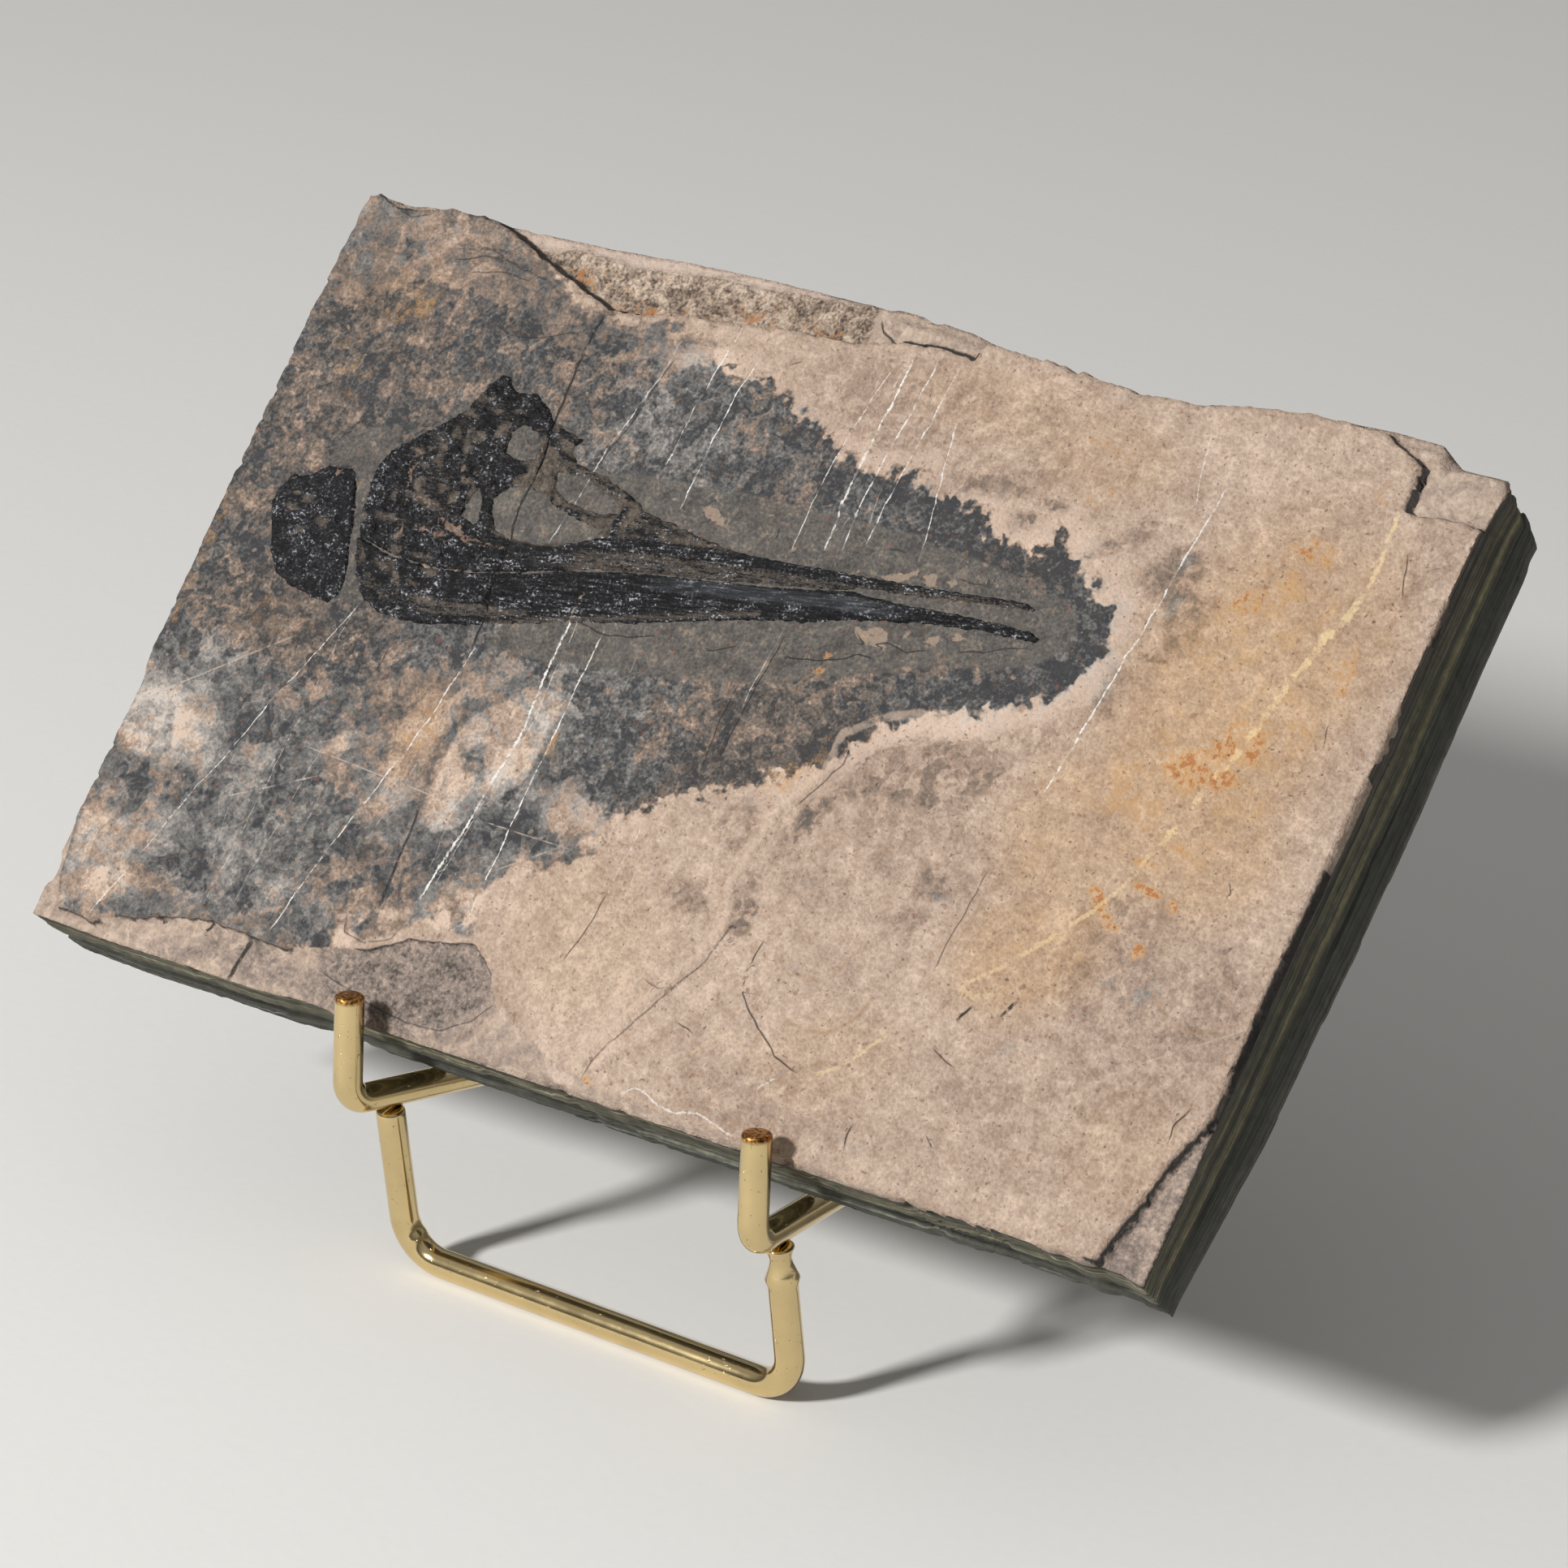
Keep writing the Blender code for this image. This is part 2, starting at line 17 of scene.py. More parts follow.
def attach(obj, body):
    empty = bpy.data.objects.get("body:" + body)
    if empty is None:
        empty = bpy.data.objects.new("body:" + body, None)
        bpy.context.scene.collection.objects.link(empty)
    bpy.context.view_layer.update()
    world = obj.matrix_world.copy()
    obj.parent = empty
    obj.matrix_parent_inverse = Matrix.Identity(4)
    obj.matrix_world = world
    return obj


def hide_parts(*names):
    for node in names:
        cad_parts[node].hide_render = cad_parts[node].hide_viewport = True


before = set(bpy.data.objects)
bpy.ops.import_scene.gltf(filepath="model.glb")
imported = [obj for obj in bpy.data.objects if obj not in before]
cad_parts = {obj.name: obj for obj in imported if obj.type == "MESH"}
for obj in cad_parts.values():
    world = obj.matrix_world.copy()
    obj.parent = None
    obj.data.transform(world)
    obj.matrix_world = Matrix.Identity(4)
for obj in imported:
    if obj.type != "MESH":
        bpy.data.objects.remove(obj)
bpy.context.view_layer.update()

bl_info = {
    "name": "Fossil fish slab",
    "version": (1, 0, 0),
    "blender": (4, 5, 0),
    "location": "3D View > Sidebar > Fossil",
    "description": "Builds a fossil fish head in limestone, leaning in a wire stand",
    "category": "Object",
}

MM = 0.001

# How the slab leans in the stand: degrees back from upright, the middle of its face's bottom edge
# above the floor, and its thickness
SLAB_LEAN = 41.9
SLAB_EDGE = (0.0, -34.4, 31.4)
SLAB_THICKNESS = 13.8

# The stone's outline a little way below its face, side by side
STONE_BOTTOM = (
    (-76.1, 0), (-65, -0.2), (-52, -0.1), (-38, 0), (-29, 0.1), (-20, 0.1), (10, 0.2), (38, 0.5), (58, 0.8),
    (73.2, 0.5))
STONE_RIGHT = ((73.2, 0.5), (73.8, 20), (74.4, 42), (75, 57), (75.3, 74), (75.7, 84), (76.4, 88.5))
STONE_TOP = (
    (-76.4, 92.4), (-69, 92.8), (-60, 92.8), (-48, 92.9), (-40, 93), (-30, 93.5), (-18, 93.6), (-5, 93.3),
    (1, 93.3), (9, 92.6), (12, 91.9), (20, 91.1), (33, 90.1), (45, 91.4), (52, 92.2), (61.5, 92.5), (67.3, 92.2),
    (70.4, 90.1), (75.8, 90.1), (76.4, 88.5))
STONE_LEFT = ((-76.1, 0), (-76.1, 10), (-75.9, 28), (-76.5, 40), (-76.5, 80), (-76.4, 92.4))

# How far the right side slopes inward down to the back: height up the slab, then millimetres
RIGHT_SLOPE = ((0, 2.3), (20, 0.6), (40, 0), (84, 0.2), (90, 1.4))
# The grid over the face covers about this much. Its cells number a multiple of the back's step,
# which is how many of them one cell on the back spans.
FACE_WIDTH, FACE_HEIGHT, BACK_STEP, SIDE_RINGS = 150.0, 90.0, 4, 31

# The top bed: what is left of the layer that the fossil lies on
TOP_BED = (
    (-71.8, 1.6), (-67, 1.3), (-63, 2.8), (-58, 4.2), (-52, 5.6), (-46, 5.4), (-40.5, 5.2), (-36, 6.5), (-30, 7.9),
    (-25, 10.4), (-16.8, 12.2), (-13.5, 10), (-11, 6.6), (-6, 4.4), (-0.5, 2.8), (6, 1.4), (20, 1.2), (40, 0.9),
    (60, 0.8), (67.8, 1.4), (68.5, 4), (70, 8.5), (71, 12.5), (73.2, 17.5), (73.8, 19.2), (73.5, 24), (73.6, 34),
    (74.1, 44), (75, 60), (75.2, 74), (75.8, 83.8), (73, 84), (70, 83.8), (66.5, 83.7), (66.5, 88.9), (64.5, 89.8),
    (61.3, 91.5), (52, 91.8), (45, 91.1), (40, 90.1), (33, 89.8), (27, 90.3), (20, 91), (12.2, 91.3), (11.2, 89),
    (7, 89.7), (2, 89.2), (-4, 87.9), (-12, 87.7), (-20, 86.9), (-28, 86.3), (-34, 85.2), (-36.5, 85.1), (-45, 88),
    (-55, 91.9), (-58.5, 92.8), (-62, 93), (-65.3, 92.3), (-68, 91.4), (-71, 91.5), (-73.6, 92.4), (-75.3, 92.3),
    (-75.8, 80), (-75.7, 50), (-75.5, 32), (-74.8, 28), (-75, 12), (-74.2, 8.5), (-73.5, 5))
PALE_STRIP = (
    (-63, 97), (-56, 92.4), (-51, 90.7), (-48, 90.9), (-45, 91.8), (-41, 91.5), (-36, 91.1), (-31, 91.7),
    (-23, 92.4), (-21, 91.9), (-16, 92.5), (-6, 92.9), (11, 97))
RUSTY_LEDGE = ((-60, 95.5), (-56, 91.5), (-37, 84), (-20, 85.8), (-8, 86.8), (-3, 87.6), (-3.4, 95.5))
LEDGE_LEVEL = -1.6
PALE_LEVEL = -2.1

# Flakes that stand between the ledges and the face: outline and level
FLAKES = (
    (((-2.5, 91.9), (0, 90.6), (2.8, 88.8), (11.4, 88.4), (12.8, 91.1), (5, 91.9)), -0.7),
    (((62, 91.4), (64.7, 90.2), (66.9, 89.6), (69.2, 90.2), (68.3, 91.1)), -0.4),
    (((67.2, 82.5), (75.6, 82.5), (76.5, 88.4), (75.6, 89.9), (67.1, 89.6)), -0.9),
    (((-35, 6), (-34, 3), (-31, 1.8), (-20, 0.6), (-15, 1.4), (-12.4, 3.5), (-10.5, 6.5), (-13, 10.5), (-16.5, 13),
     (-26, 11.5)), -0.7),
    (((-13.8, 0.7), (8, 0.6), (8, 3), (0, 4), (-10, 7.5), (-11.8, 3.8)), -0.45),
    (((-65, 1), (-52, 0.6), (-50.8, 3), (-50.5, 6.5), (-60, 5.5), (-64, 3.5)), -1.1),
)

# Gaps along the top bed's edge, not cut into the stone but painted as dark shade: width in millimetres, then the
# points along them
OPEN_EDGES = (
    (0.8, ((-58.5, 92.8), (-55, 91.9), (-50, 89.9), (-45, 88), (-40, 86.2), (-36.3, 85.1))),
    (0.5, ((-34, 85.2), (-28, 86.3), (-20, 86.9), (-12, 87.7), (-4, 87.9), (2, 89.2))),
    (0.7, ((1, 88.9), (5, 89.5), (7, 89.7), (11.2, 89))),
    (0.5, ((61, 91.6), (62.5, 90.9), (64.5, 89.8), (66.5, 89.2), (67.3, 88.7))),
    (0.7, ((66.5, 89), (66.5, 83.7))),
    (0.3, ((67.3, 83.7), (70, 83.8), (73, 84), (75.2, 84.2))),
    (0.5, ((75.6, 83), (75.4, 76), (75, 70))),
    (1, ((74.1, 44), (73.6, 34), (73.5, 24), (73.8, 20))),
    (0.5, ((74.7, 19), (73.2, 17.5), (71, 12.5), (70, 8.5), (68.5, 4), (67.8, 1.4))),
    (0.4, ((-73.5, 5), (-71.8, 1.6), (-67, 1.3))),
    (0.35, ((-30, 7.9), (-25, 10.4), (-16.8, 12.2), (-13.5, 10))),
    (0.4, ((-62, 3), (-58, 4.2), (-52, 5.6), (-46, 5.4), (-40.5, 5.2))),
)

# Fine dark cracks and lines: width and strength, then the points along them. The first two cross
# the skull, and the bones show them too. Along the foot of a step their dark is painted shade.
FINE_CRACKS = (
    (0.26, 1, ((-36.8, 85), (-36.8, 83.7), (-37.2, 78.5), (-36.6, 70.7), (-35.9, 65.8), (-36.2, 59.8),
     (-35.2, 55.4), (-34.8, 50.5), (-34.1, 47.2), (-33.9, 43))),
    (0.4, 1, ((-37.1, 79.6), (-37.2, 77.4))),
    (0.3, 0.9, ((-31.5, 25), (-31, 23), (-30.9, 18), (-30.6, 12.5))),
    (0.16, 0.8, ((16.9, 22.4), (16.6, 20), (16.9, 16.2), (18.6, 14.4), (21.5, 12.4), (24, 10.6), (27.6, 9.6))),
    (0.3, 1, ((43.6, 22.2), (43, 21), (42.4, 20.2), (42.9, 19.6))),
    (0.34, 1, ((48.1, 24), (47.5, 22.8), (46.8, 21.2))),
    (0.14, 0.8, ((16.4, 19), (16.8, 17), (17.1, 15.9))),
    (0.2, 0.8, ((36.2, 6.8), (35.8, 5), (36.3, 3.4))),
    (0.14, 0.7, ((40.8, 16.6), (43.6, 15.4), (44.8, 15))),
    (0.12, 0.7, ((44.4, 7.8), (46, 6.6))),
    (0.12, 0.8, ((10.8, 10.8), (12.6, 10.6), (13.8, 10))),
    (0.14, 0.8, ((3.6, 54.6), (3.4, 51.8), (2.7, 46), (2.2, 39))),
    (0.14, 0.7, ((0.7, 48), (0.4, 44), (0.7, 38))),
    (0.14, 0.8, ((-5.6, 50.7), (-4.6, 50.3), (-1.2, 51.7))),
    (0.15, 0.9, ((4, 52.2), (5.2, 51.9), (8.5, 52.5), (11.5, 53.2), (13, 54.2), (15.5, 54.4))),
    (0.14, 0.8, ((11.6, 56.6), (13.5, 55.5), (16, 56.3), (18.5, 55.9), (21.2, 56.7))),
    (0.13, 0.7, ((24.2, 57.3), (27.5, 58.1), (30, 59.1), (32.5, 59.8))),
    (0.2, 0.6, ((10.6, 66.4), (12.6, 66.7), (14, 66.3))),
    (0.18, 0.6, ((20.4, 65.3), (22.8, 65), (25.4, 65.3))),
    (0.15, 0.7, ((24.2, 66.1), (24.8, 65.5), (25.6, 65.5))),
    (0.14, 0.7, ((-2.9, 66), (-2.7, 64.6), (-3.2, 63.8))),
    (0.15, 0.7, ((-25.2, 81.8), (-26, 78), (-27, 73), (-28.8, 67))),
    (0.13, 0.6, ((-19.5, 81), (-19.9, 76), (-20.6, 69))),
    (0.14, 0.6, ((-10.8, 83.6), (-9, 84.6))),
    (0.12, 0.6, ((-47, 79.4), (-43.6, 80), (-38.4, 82))),
    (0.12, 0.6, ((-60.5, 88), (-55, 89), (-50.6, 87.4), (-46, 86.9))),
    (0.12, 0.5, ((-71, 91.2), (-68, 90.6), (-65.3, 91.6))),
    (0.16, 0.8, ((-24, 50.1), (-20, 49.1), (-17.6, 48.8), (-14.5, 49.6), (-11.6, 50.4))),
    (0.13, 0.7, ((-44.4, 46.2), (-44.3, 43.6))),
    (0.13, 0.7, ((-44.6, 41.2), (-44.8, 37.4))),
    (0.13, 0.7, ((69.1, 80), (70.6, 74.4))),
    (0.13, 0.7, ((65, 41.8), (65.8, 40.6), (65.4, 39.8))),
    (0.15, 0.7, ((-3.6, 22), (-4, 18), (-5.4, 13))),
    (0.15, 0.8, ((71.4, 19), (70.2, 16.6), (70.3, 14))),
    (0.22, 0.9, ((-3.2, 92), (-2.2, 90.6), (0, 89.4), (2, 89))),
    (0.14, 0.5, ((5, 14.2), (7.4, 13.6), (8.4, 14))),
    (0.14, 0.6, ((38.8, 36), (38.2, 31), (37.4, 24))),
    (0.5, 1, ((-45.4, 5.6), (-45.8, 4), (-46.2, 2), (-46.5, -0.6))),
    (0.34, 1, ((-50.9, 5.9), (-51.3, 5), (-52.2, 3.8))),
    (0.26, 0.9, ((-58.6, 4.4), (-57.6, 3.6), (-56.9, 4.5))),
    (0.16, 0.7, ((-74.4, 93), (-72.6, 91.9), (-70, 91.4), (-67, 91.8), (-65, 92.6))),
    (0.14, 0.7, ((-60, 86.6), (-56, 87.9), (-52, 88.1), (-48.4, 87.3))),
    (0.12, 0.6, ((-57, 85.6), (-52.6, 86.7), (-48, 86.2))),
    # These two follow the thin flake's edge: their dark is painted shadow at the foot of its step
    (0.2, 0.5, ((2.6, 1.7), (3.7, 5.3), (7.1, 11.2), (9.4, 15.1), (11.2, 18), (12.6, 23))),
    (0.16, 0.6, ((13.4, 36.4), (17, 42.4), (16.6, 45.2))),
    (0.14, 0.5, ((-34.4, 11.4), (-33.4, 9), (-30.4, 8.3), (-27.4, 9.6), (-26.2, 11.8))),
    (0.13, 0.6, ((-35.6, 4.4), (-30, 3), (-23, 1.8), (-17, 1.9), (-13.4, 4), (-11.4, 7))),
    (0.22, 0.9, ((73.6, 30), (73.9, 26), (73.6, 22.4))),
    (0.12, 0.6, ((68.4, 60.6), (69, 57.4))),
)
# Tan lines, where the edges of very thin flakes have weathered
TAN_LINES = (
    (0.34, 0.9, ((22.6, 17.2), (22.8, 15.4), (23.4, 14.4), (28, 14.2), (30.4, 15.6), (31.6, 17.8), (32.4, 20.6))),
    (0.24, 0.7, ((22.6, 17.2), (25.4, 18.2), (26.6, 20.6), (28, 23.4), (29.6, 24.6))),
    (0.24, 0.7, ((19.6, 20.6), (21.4, 19.2), (24.4, 19.6), (26.6, 21.8))),
    (0.22, 0.6, ((13, 22.6), (16, 21.8), (19, 21.4), (19.4, 18.4), (18.6, 14.8))),
    (0.22, 0.6, ((40.4, 42.6), (40, 36), (39.2, 30), (38, 24.6), (37.2, 21))),
    (0.26, 0.7, ((71.4, 20.4), (70.4, 17), (70.8, 14))),
    (0.24, 0.6, ((33, 45.8), (36, 43), (40.6, 42.6), (43, 45))),
    (0.26, 0.7, ((61, 30), (63.6, 27), (67.6, 25.6), (71.6, 27.6))),
)

# The thin edge of a flake that crosses the lower right of the face
FLAKE_EDGE = (
    (1.7, 1.5), (2.8, 5.5), (6.3, 11.3), (10.4, 18), (12, 23.2), (10.4, 26.5), (12.2, 35.5), (15.7, 41.2),
    (15.7, 45.5), (20.5, 48.6), (32.2, 52.1))

# The dark halo round the fossil, the mottled left of the slab, and the smooth grey zone by the snout
HALO = (
    (-82, 60), (-82, 78), (-68, 80), (-60, 84), (-50, 83), (-40, 79), (-33, 81), (-26, 80), (-19, 81.5),
    (-12, 81.5), (-7, 78.5), (0, 75.5), (5, 74), (11, 75), (14, 73.4), (20, 73.6), (22, 70.5), (26, 70),
    (29.5, 70.4), (30.4, 73), (31.4, 73), (32, 70.2), (34, 69), (37, 67.5), (39.5, 66), (41, 62.8), (40, 59),
    (37.5, 56), (34, 53.5), (29, 51.2), (24, 50), (19.5, 47.5), (16.6, 45), (15, 42), (12, 40), (9, 38), (5, 36.5),
    (0, 34.5), (-5, 31), (-10, 30), (-15, 32), (-16.5, 38), (-20, 42.5), (-32, 43), (-36, 40.5), (-45, 38),
    (-52, 35), (-62, 35), (-82, 33))
MOTTLED = (
    (-82, -4), (-38, 3), (-33.5, 9.5), (-28, 12), (-24.5, 14), (-20, 13.5), (-17.5, 18), (-11, 23), (-7.5, 25.5),
    (-5, 31), (-10, 50), (-10, 70), (-16, 80), (-22, 83.5), (-30, 84), (-38, 85.5), (-48, 89.5), (-60, 98),
    (-82, 98))
HUG_ZONE = (
    (-30, 66.5), (-20, 67.5), (-10, 68.3), (0, 68.3), (12, 68.5), (20, 67.6), (28, 66.8), (33, 66), (36, 64.8),
    (36.8, 62.6), (36, 60.4), (34, 58.4), (30, 57), (20, 54.5), (10, 51), (0, 47.5), (-10, 46), (-20, 44.5),
    (-32, 44))

# Patches with a sharp outline on the left: how much darker or paler, then the outline
PATCHES = (
    (-0.38, ((-30.9, 34), (-29.6, 36.6), (-26.8, 38.7), (-25.5, 40), (-22.9, 41.2), (-20.3, 41.4), (-19.3, 40.3),
     (-19.5, 35.6), (-19.8, 31.4), (-20.8, 29.4), (-22.1, 27.8), (-22.9, 26.2), (-25.5, 23.6), (-28.1, 22.1),
     (-29.9, 23.1), (-30.9, 26.2), (-31.3, 30.4))),
    (-0.24, ((-36.4, 38.7), (-34.3, 37.4), (-32, 38.7), (-31.6, 35.6), (-33, 32.4), (-33, 28.8), (-31.5, 26.8),
     (-32.2, 25.2), (-33.8, 23.1), (-36.4, 22.1), (-37.7, 23.1), (-36.9, 26.2), (-37.7, 28.3), (-39, 30.4),
     (-38.5, 33.5), (-37.4, 36.6))),
    (0.22, ((-28.6, 32.4), (-27.4, 33.4), (-26.2, 32.2), (-25.6, 30.8), (-26.2, 29.4), (-27.6, 30))),
    (-0.2, ((-46.8, 29), (-46, 30.2), (-44.4, 30.1), (-43.7, 28.8), (-44, 27.4), (-45, 27), (-46.6, 27.8))),
    (-0.2, ((-65.4, 24.8), (-63, 25.4), (-60.6, 24), (-60, 22.2), (-61.4, 20.8), (-64.6, 21.2))),
    (-0.22, ((-74.5, 14), (-72, 14.4), (-68.8, 13.6), (-66.4, 14.6), (-64.8, 13), (-65.4, 9), (-64, 6.4), (-67, 3),
     (-72, 2.2), (-74, 7))),
    (-0.26, ((-34.8, 7.4), (-34.6, 10.4), (-32.6, 12.6), (-31, 12.4), (-31.8, 10.2), (-31.4, 8.6), (-33, 7))),
    (-0.24, ((-26, 14), (-26.4, 16.8), (-23.6, 17.9), (-20.6, 17.4), (-18.2, 18), (-17.6, 15), (-19, 12.8),
     (-22.6, 12.2))),
    (0.32, ((-23, 16.6), (-21.6, 16.2), (-20.4, 15.2), (-19.2, 14.8), (-19.6, 13.6), (-21, 13.4), (-21.6, 14.6),
     (-22.8, 15.4))),
    (0.28, ((-32.4, 10), (-31, 11.6), (-29, 11.4), (-27.6, 12.6), (-26.4, 11.8), (-27, 10.2), (-29.4, 9.6),
     (-30.6, 8.6), (-32, 8.4))),
    (-0.16, ((-39.6, 14), (-38.2, 16.2), (-35.8, 16.4), (-35.2, 15.2), (-37.6, 13.6), (-39, 13))),
    (-0.18, ((-46.4, 11), (-44.8, 12.2), (-43.4, 11.4), (-43.2, 8), (-45, 6.8), (-46.2, 8.6))),
    (-0.16, ((-56.4, 25.6), (-54.2, 26.4), (-52.8, 25), (-53.6, 22.8), (-55.6, 23.2))),
    (-0.2, ((-24.8, 83.2), (-22, 84), (-18.8, 83.2), (-18.6, 80.8), (-21, 79.8), (-24.2, 80.6))),
    (-0.24, ((-75.4, 30.4), (-72.4, 31.4), (-70.6, 29.2), (-67.4, 29), (-64.6, 26.4), (-66.2, 22.8), (-68.4, 22),
     (-69.8, 20.2), (-73.2, 21.2), (-74.9, 24.2))),
    (-0.16, ((-18, 33.6), (-12.6, 34.2), (-11.4, 33.4), (-16.4, 32.6))),
    (-0.18, ((-17.6, 31.2), (-13, 31.9), (-8.6, 31), (-9.4, 30), (-15, 30.4))),
    (-0.12, ((-44.8, 36), (-43, 38), (-40.6, 37.6), (-40.4, 34.8), (-43, 34))),
)
# Darker parts of the ledges
LEDGE_OVALS = (
    (-24, 6, 12.5, 6, 12, 0.66), (73, 8, 5, 12, -20, 0.4), (-43, 3, 4.6, 2.2, 0, 0.45),
    (-48.6, 3, 2.2, 2.2, 0, 0.35), (0, 3.4, 6, 1.5, 0, 0.2), (-36, 1.4, 6, 1.2, 0, 0.3), (-55, 1.2, 5, 0.8, 0, 0.3))
# Round pale discs: middle and radius
DISCS = (
    (-66.5, 30, 0.75), (-63.6, 30, 0.55), (-73.5, 27.5, 0.75), (-68.6, 21, 0.6), (-72.8, 15.5, 0.9),
    (-70.2, 12.4, 1.2), (-61, 20.4, 0.8), (-64.8, 17.6, 0.5), (-68.8, 6, 1.5), (-53, 14.4, 0.9), (-49.4, 24.2, 0.8),
    (-46.4, 33.2, 0.6), (-58.6, 13, 0.6), (-41, 24.6, 0.6), (-62.6, 37.6, 0.5), (-35.2, 19.8, 0.9),
    (-70.6, 17.8, 0.5), (-50.2, 10, 0.8), (-61.8, 58.6, 0.5), (33.6, 57.1, 0.9), (33.8, 26.8, 0.55),
    (-44, 18.6, 0.7))
# A pale scalloped border lies outside the halo here: middle, half sizes, turn in degrees, strength
BORDER_OVALS = (
    (26, 48, 15, 5, 22, 1), (39, 57, 5, 8, 20, 0.9), (39, 68, 5, 5, 0, 0.7), (27, 72, 9, 4, 0, 0.8),
    (6, 77, 9, 3, 0, 0.8), (-20, 82, 7, 2.5, 0, 0.5), (-5, 80, 6, 3, 30, 0.6), (12, 40, 6, 4, 40, 0.5),
    (-8, 29, 9, 3, 0, 0.5), (44, 63, 6, 6, 0, 0.6))
# Where the stone is a colder grey, and where it is a warmer brown
COLD_OVALS = (
    (-46, 20, 16, 12, 0, 0.5), (-68, 30, 8, 8, 0, 0.5), (-14, 75, 14, 6, 0, 0.6), (10, 71, 14, 4, 0, 0.7),
    (37, 62, 6, 10, 0, 0.8), (26, 52, 10, 3, 15, 0.8), (-10, 40, 12, 8, 0, 0.4), (47, 70, 4, 5, 0, 0.3),
    (-56, 14, 8, 6, 0, 0.5), (-22, 26, 6, 5, 0, 0.5), (58, 30, 5, 7, 20, 0.35))
BROWN_OVALS = (
    (-64, 88, 14, 8, 0, 0.2), (-62, 66, 16, 20, 0, 0.6), (-50, 82, 18, 8, 10, 0.4), (-60, 42, 14, 6, 0, 0.8),
    (-38, 30, 8, 9, 0, 0.6), (-40, 78, 10, 8, 0, 0.4), (-35, 15, 8, 5, 0, 0.5), (4, 42, 10, 5, 20, 0.5),
    (24, 43, 8, 4, 15, 0.5))

# Soft ovals on the face: middle, half sizes, turn in degrees, strength. Dark ones first.
DARK_OVALS = (
    (-71, 50, 6, 14, 0, 0.16), (-66, 76, 9, 5, 10, 0.12), (-45, 80, 11, 4, 10, 0.1), (-54, 32, 7, 5, 0, 0.14),
    (-57, 36, 6, 4, -30, 0.12), (-44, 35, 5, 4, 0, 0.12), (-48, 21, 8, 4, 30, 0.2), (-55, 27, 5, 6, 60, 0.2),
    (-40, 17, 6, 5, 20, 0.16), (-33, 16, 6, 4, 10, 0.2), (-58, 10.5, 5, 3, 0, 0.2), (-71, 17, 4, 4, 0, 0.2),
    (-46, 9, 6, 2, 0, 0.18), (-36, 9, 7, 3, 30, 0.14), (-21, 26, 5, 4, 0, 0.24), (-15, 25.2, 4.5, 1.3, 10, 0.34),
    (-14, 33, 5, 3, 0, 0.16), (-12, 40, 6, 3, 0, 0.14), (-27, 31, 2, 2, 0, 0.24), (-25, 20, 3, 5, 10, 0.14),
    (10, 80, 18, 7, 0, 0.11), (-30, 43.5, 5, 2, 0, 0.05), (-43, 36.5, 3, 2.5, 0, 0.15), (-62, 19, 4, 3, 0, 0.12),
    (-50, 42, 4, 4, 0, 0.08), (-72, 31, 3, 2, 0, 0.16), (-57, 30, 4, 2, 0, 0.14), (-74, 24, 2, 6, 0, 0.1),
    (-66, 87, 1.6, 1.2, 0, 0.26), (-9, 79, 5, 2, 15, 0.16), (-17, 76, 6, 3, 0, 0.12), (-33, 78, 2, 3, 0, 0.14),
    (-3, 76, 4, 2.5, 0, 0.1), (2, 71, 5, 2, 0, 0.08), (12, 73, 6, 1.6, -5, 0.14), (18, 71, 5, 2, 0, 0.13),
    (-17, 70, 4, 2, 0, 0.08), (28, 44, 8, 4, 15, 0.24), (20, 42, 4, 3, 0, 0.16), (35, 50, 5, 2, 20, 0.14),
    (28, 53.5, 4, 1.2, 20, 0.27), (15.6, 35.5, 1.4, 3.4, -30, 0.34), (33, 33, 2, 2, 0, 0.21),
    (33, 28, 2, 2, 0, 0.14), (13, 23.4, 1.6, 2, 0, 0.32), (6, 24, 2.5, 2, -20, 0.27), (8, 33, 2, 3, 0, 0.19),
    (12.6, 27.5, 1, 1.5, 0, 0.16), (45, 71, 3.4, 3.4, 0, 0.26), (48.5, 67, 2.5, 4, 20, 0.19),
    (20, 76, 4.5, 1.6, 0, 0.27), (28, 75.6, 1.8, 0.7, 0, 0.35), (25, 73, 1.4, 1.4, 0, 0.29),
    (46.5, 62, 2.2, 0.5, 0, 0.27), (36, 72, 2, 0.8, 40, 0.21), (44, 57, 2, 3, 20, 0.14), (39, 75, 1.6, 2, 0, 0.16),
    (57, 30, 6, 8, 20, 0.13), (68, 28, 5, 7, 0, 0.13), (62, 18, 8, 5, 0, 0.08), (50, 13, 6, 4, 0, 0.05),
    (24, 6, 12, 4, 0, 0.06), (72, 80, 3, 6, 0, 0.06), (70, 52, 3, 8, 0, 0.05), (30, 36, 10, 5, 0, 0.08),
    (-68, 4, 5, 2, 0, 0.05), (20, 30, 6, 4, 0, 0.04), (58, 82, 4, 5, 0, 0.06), (2, 84, 8, 3, 0, 0.06))
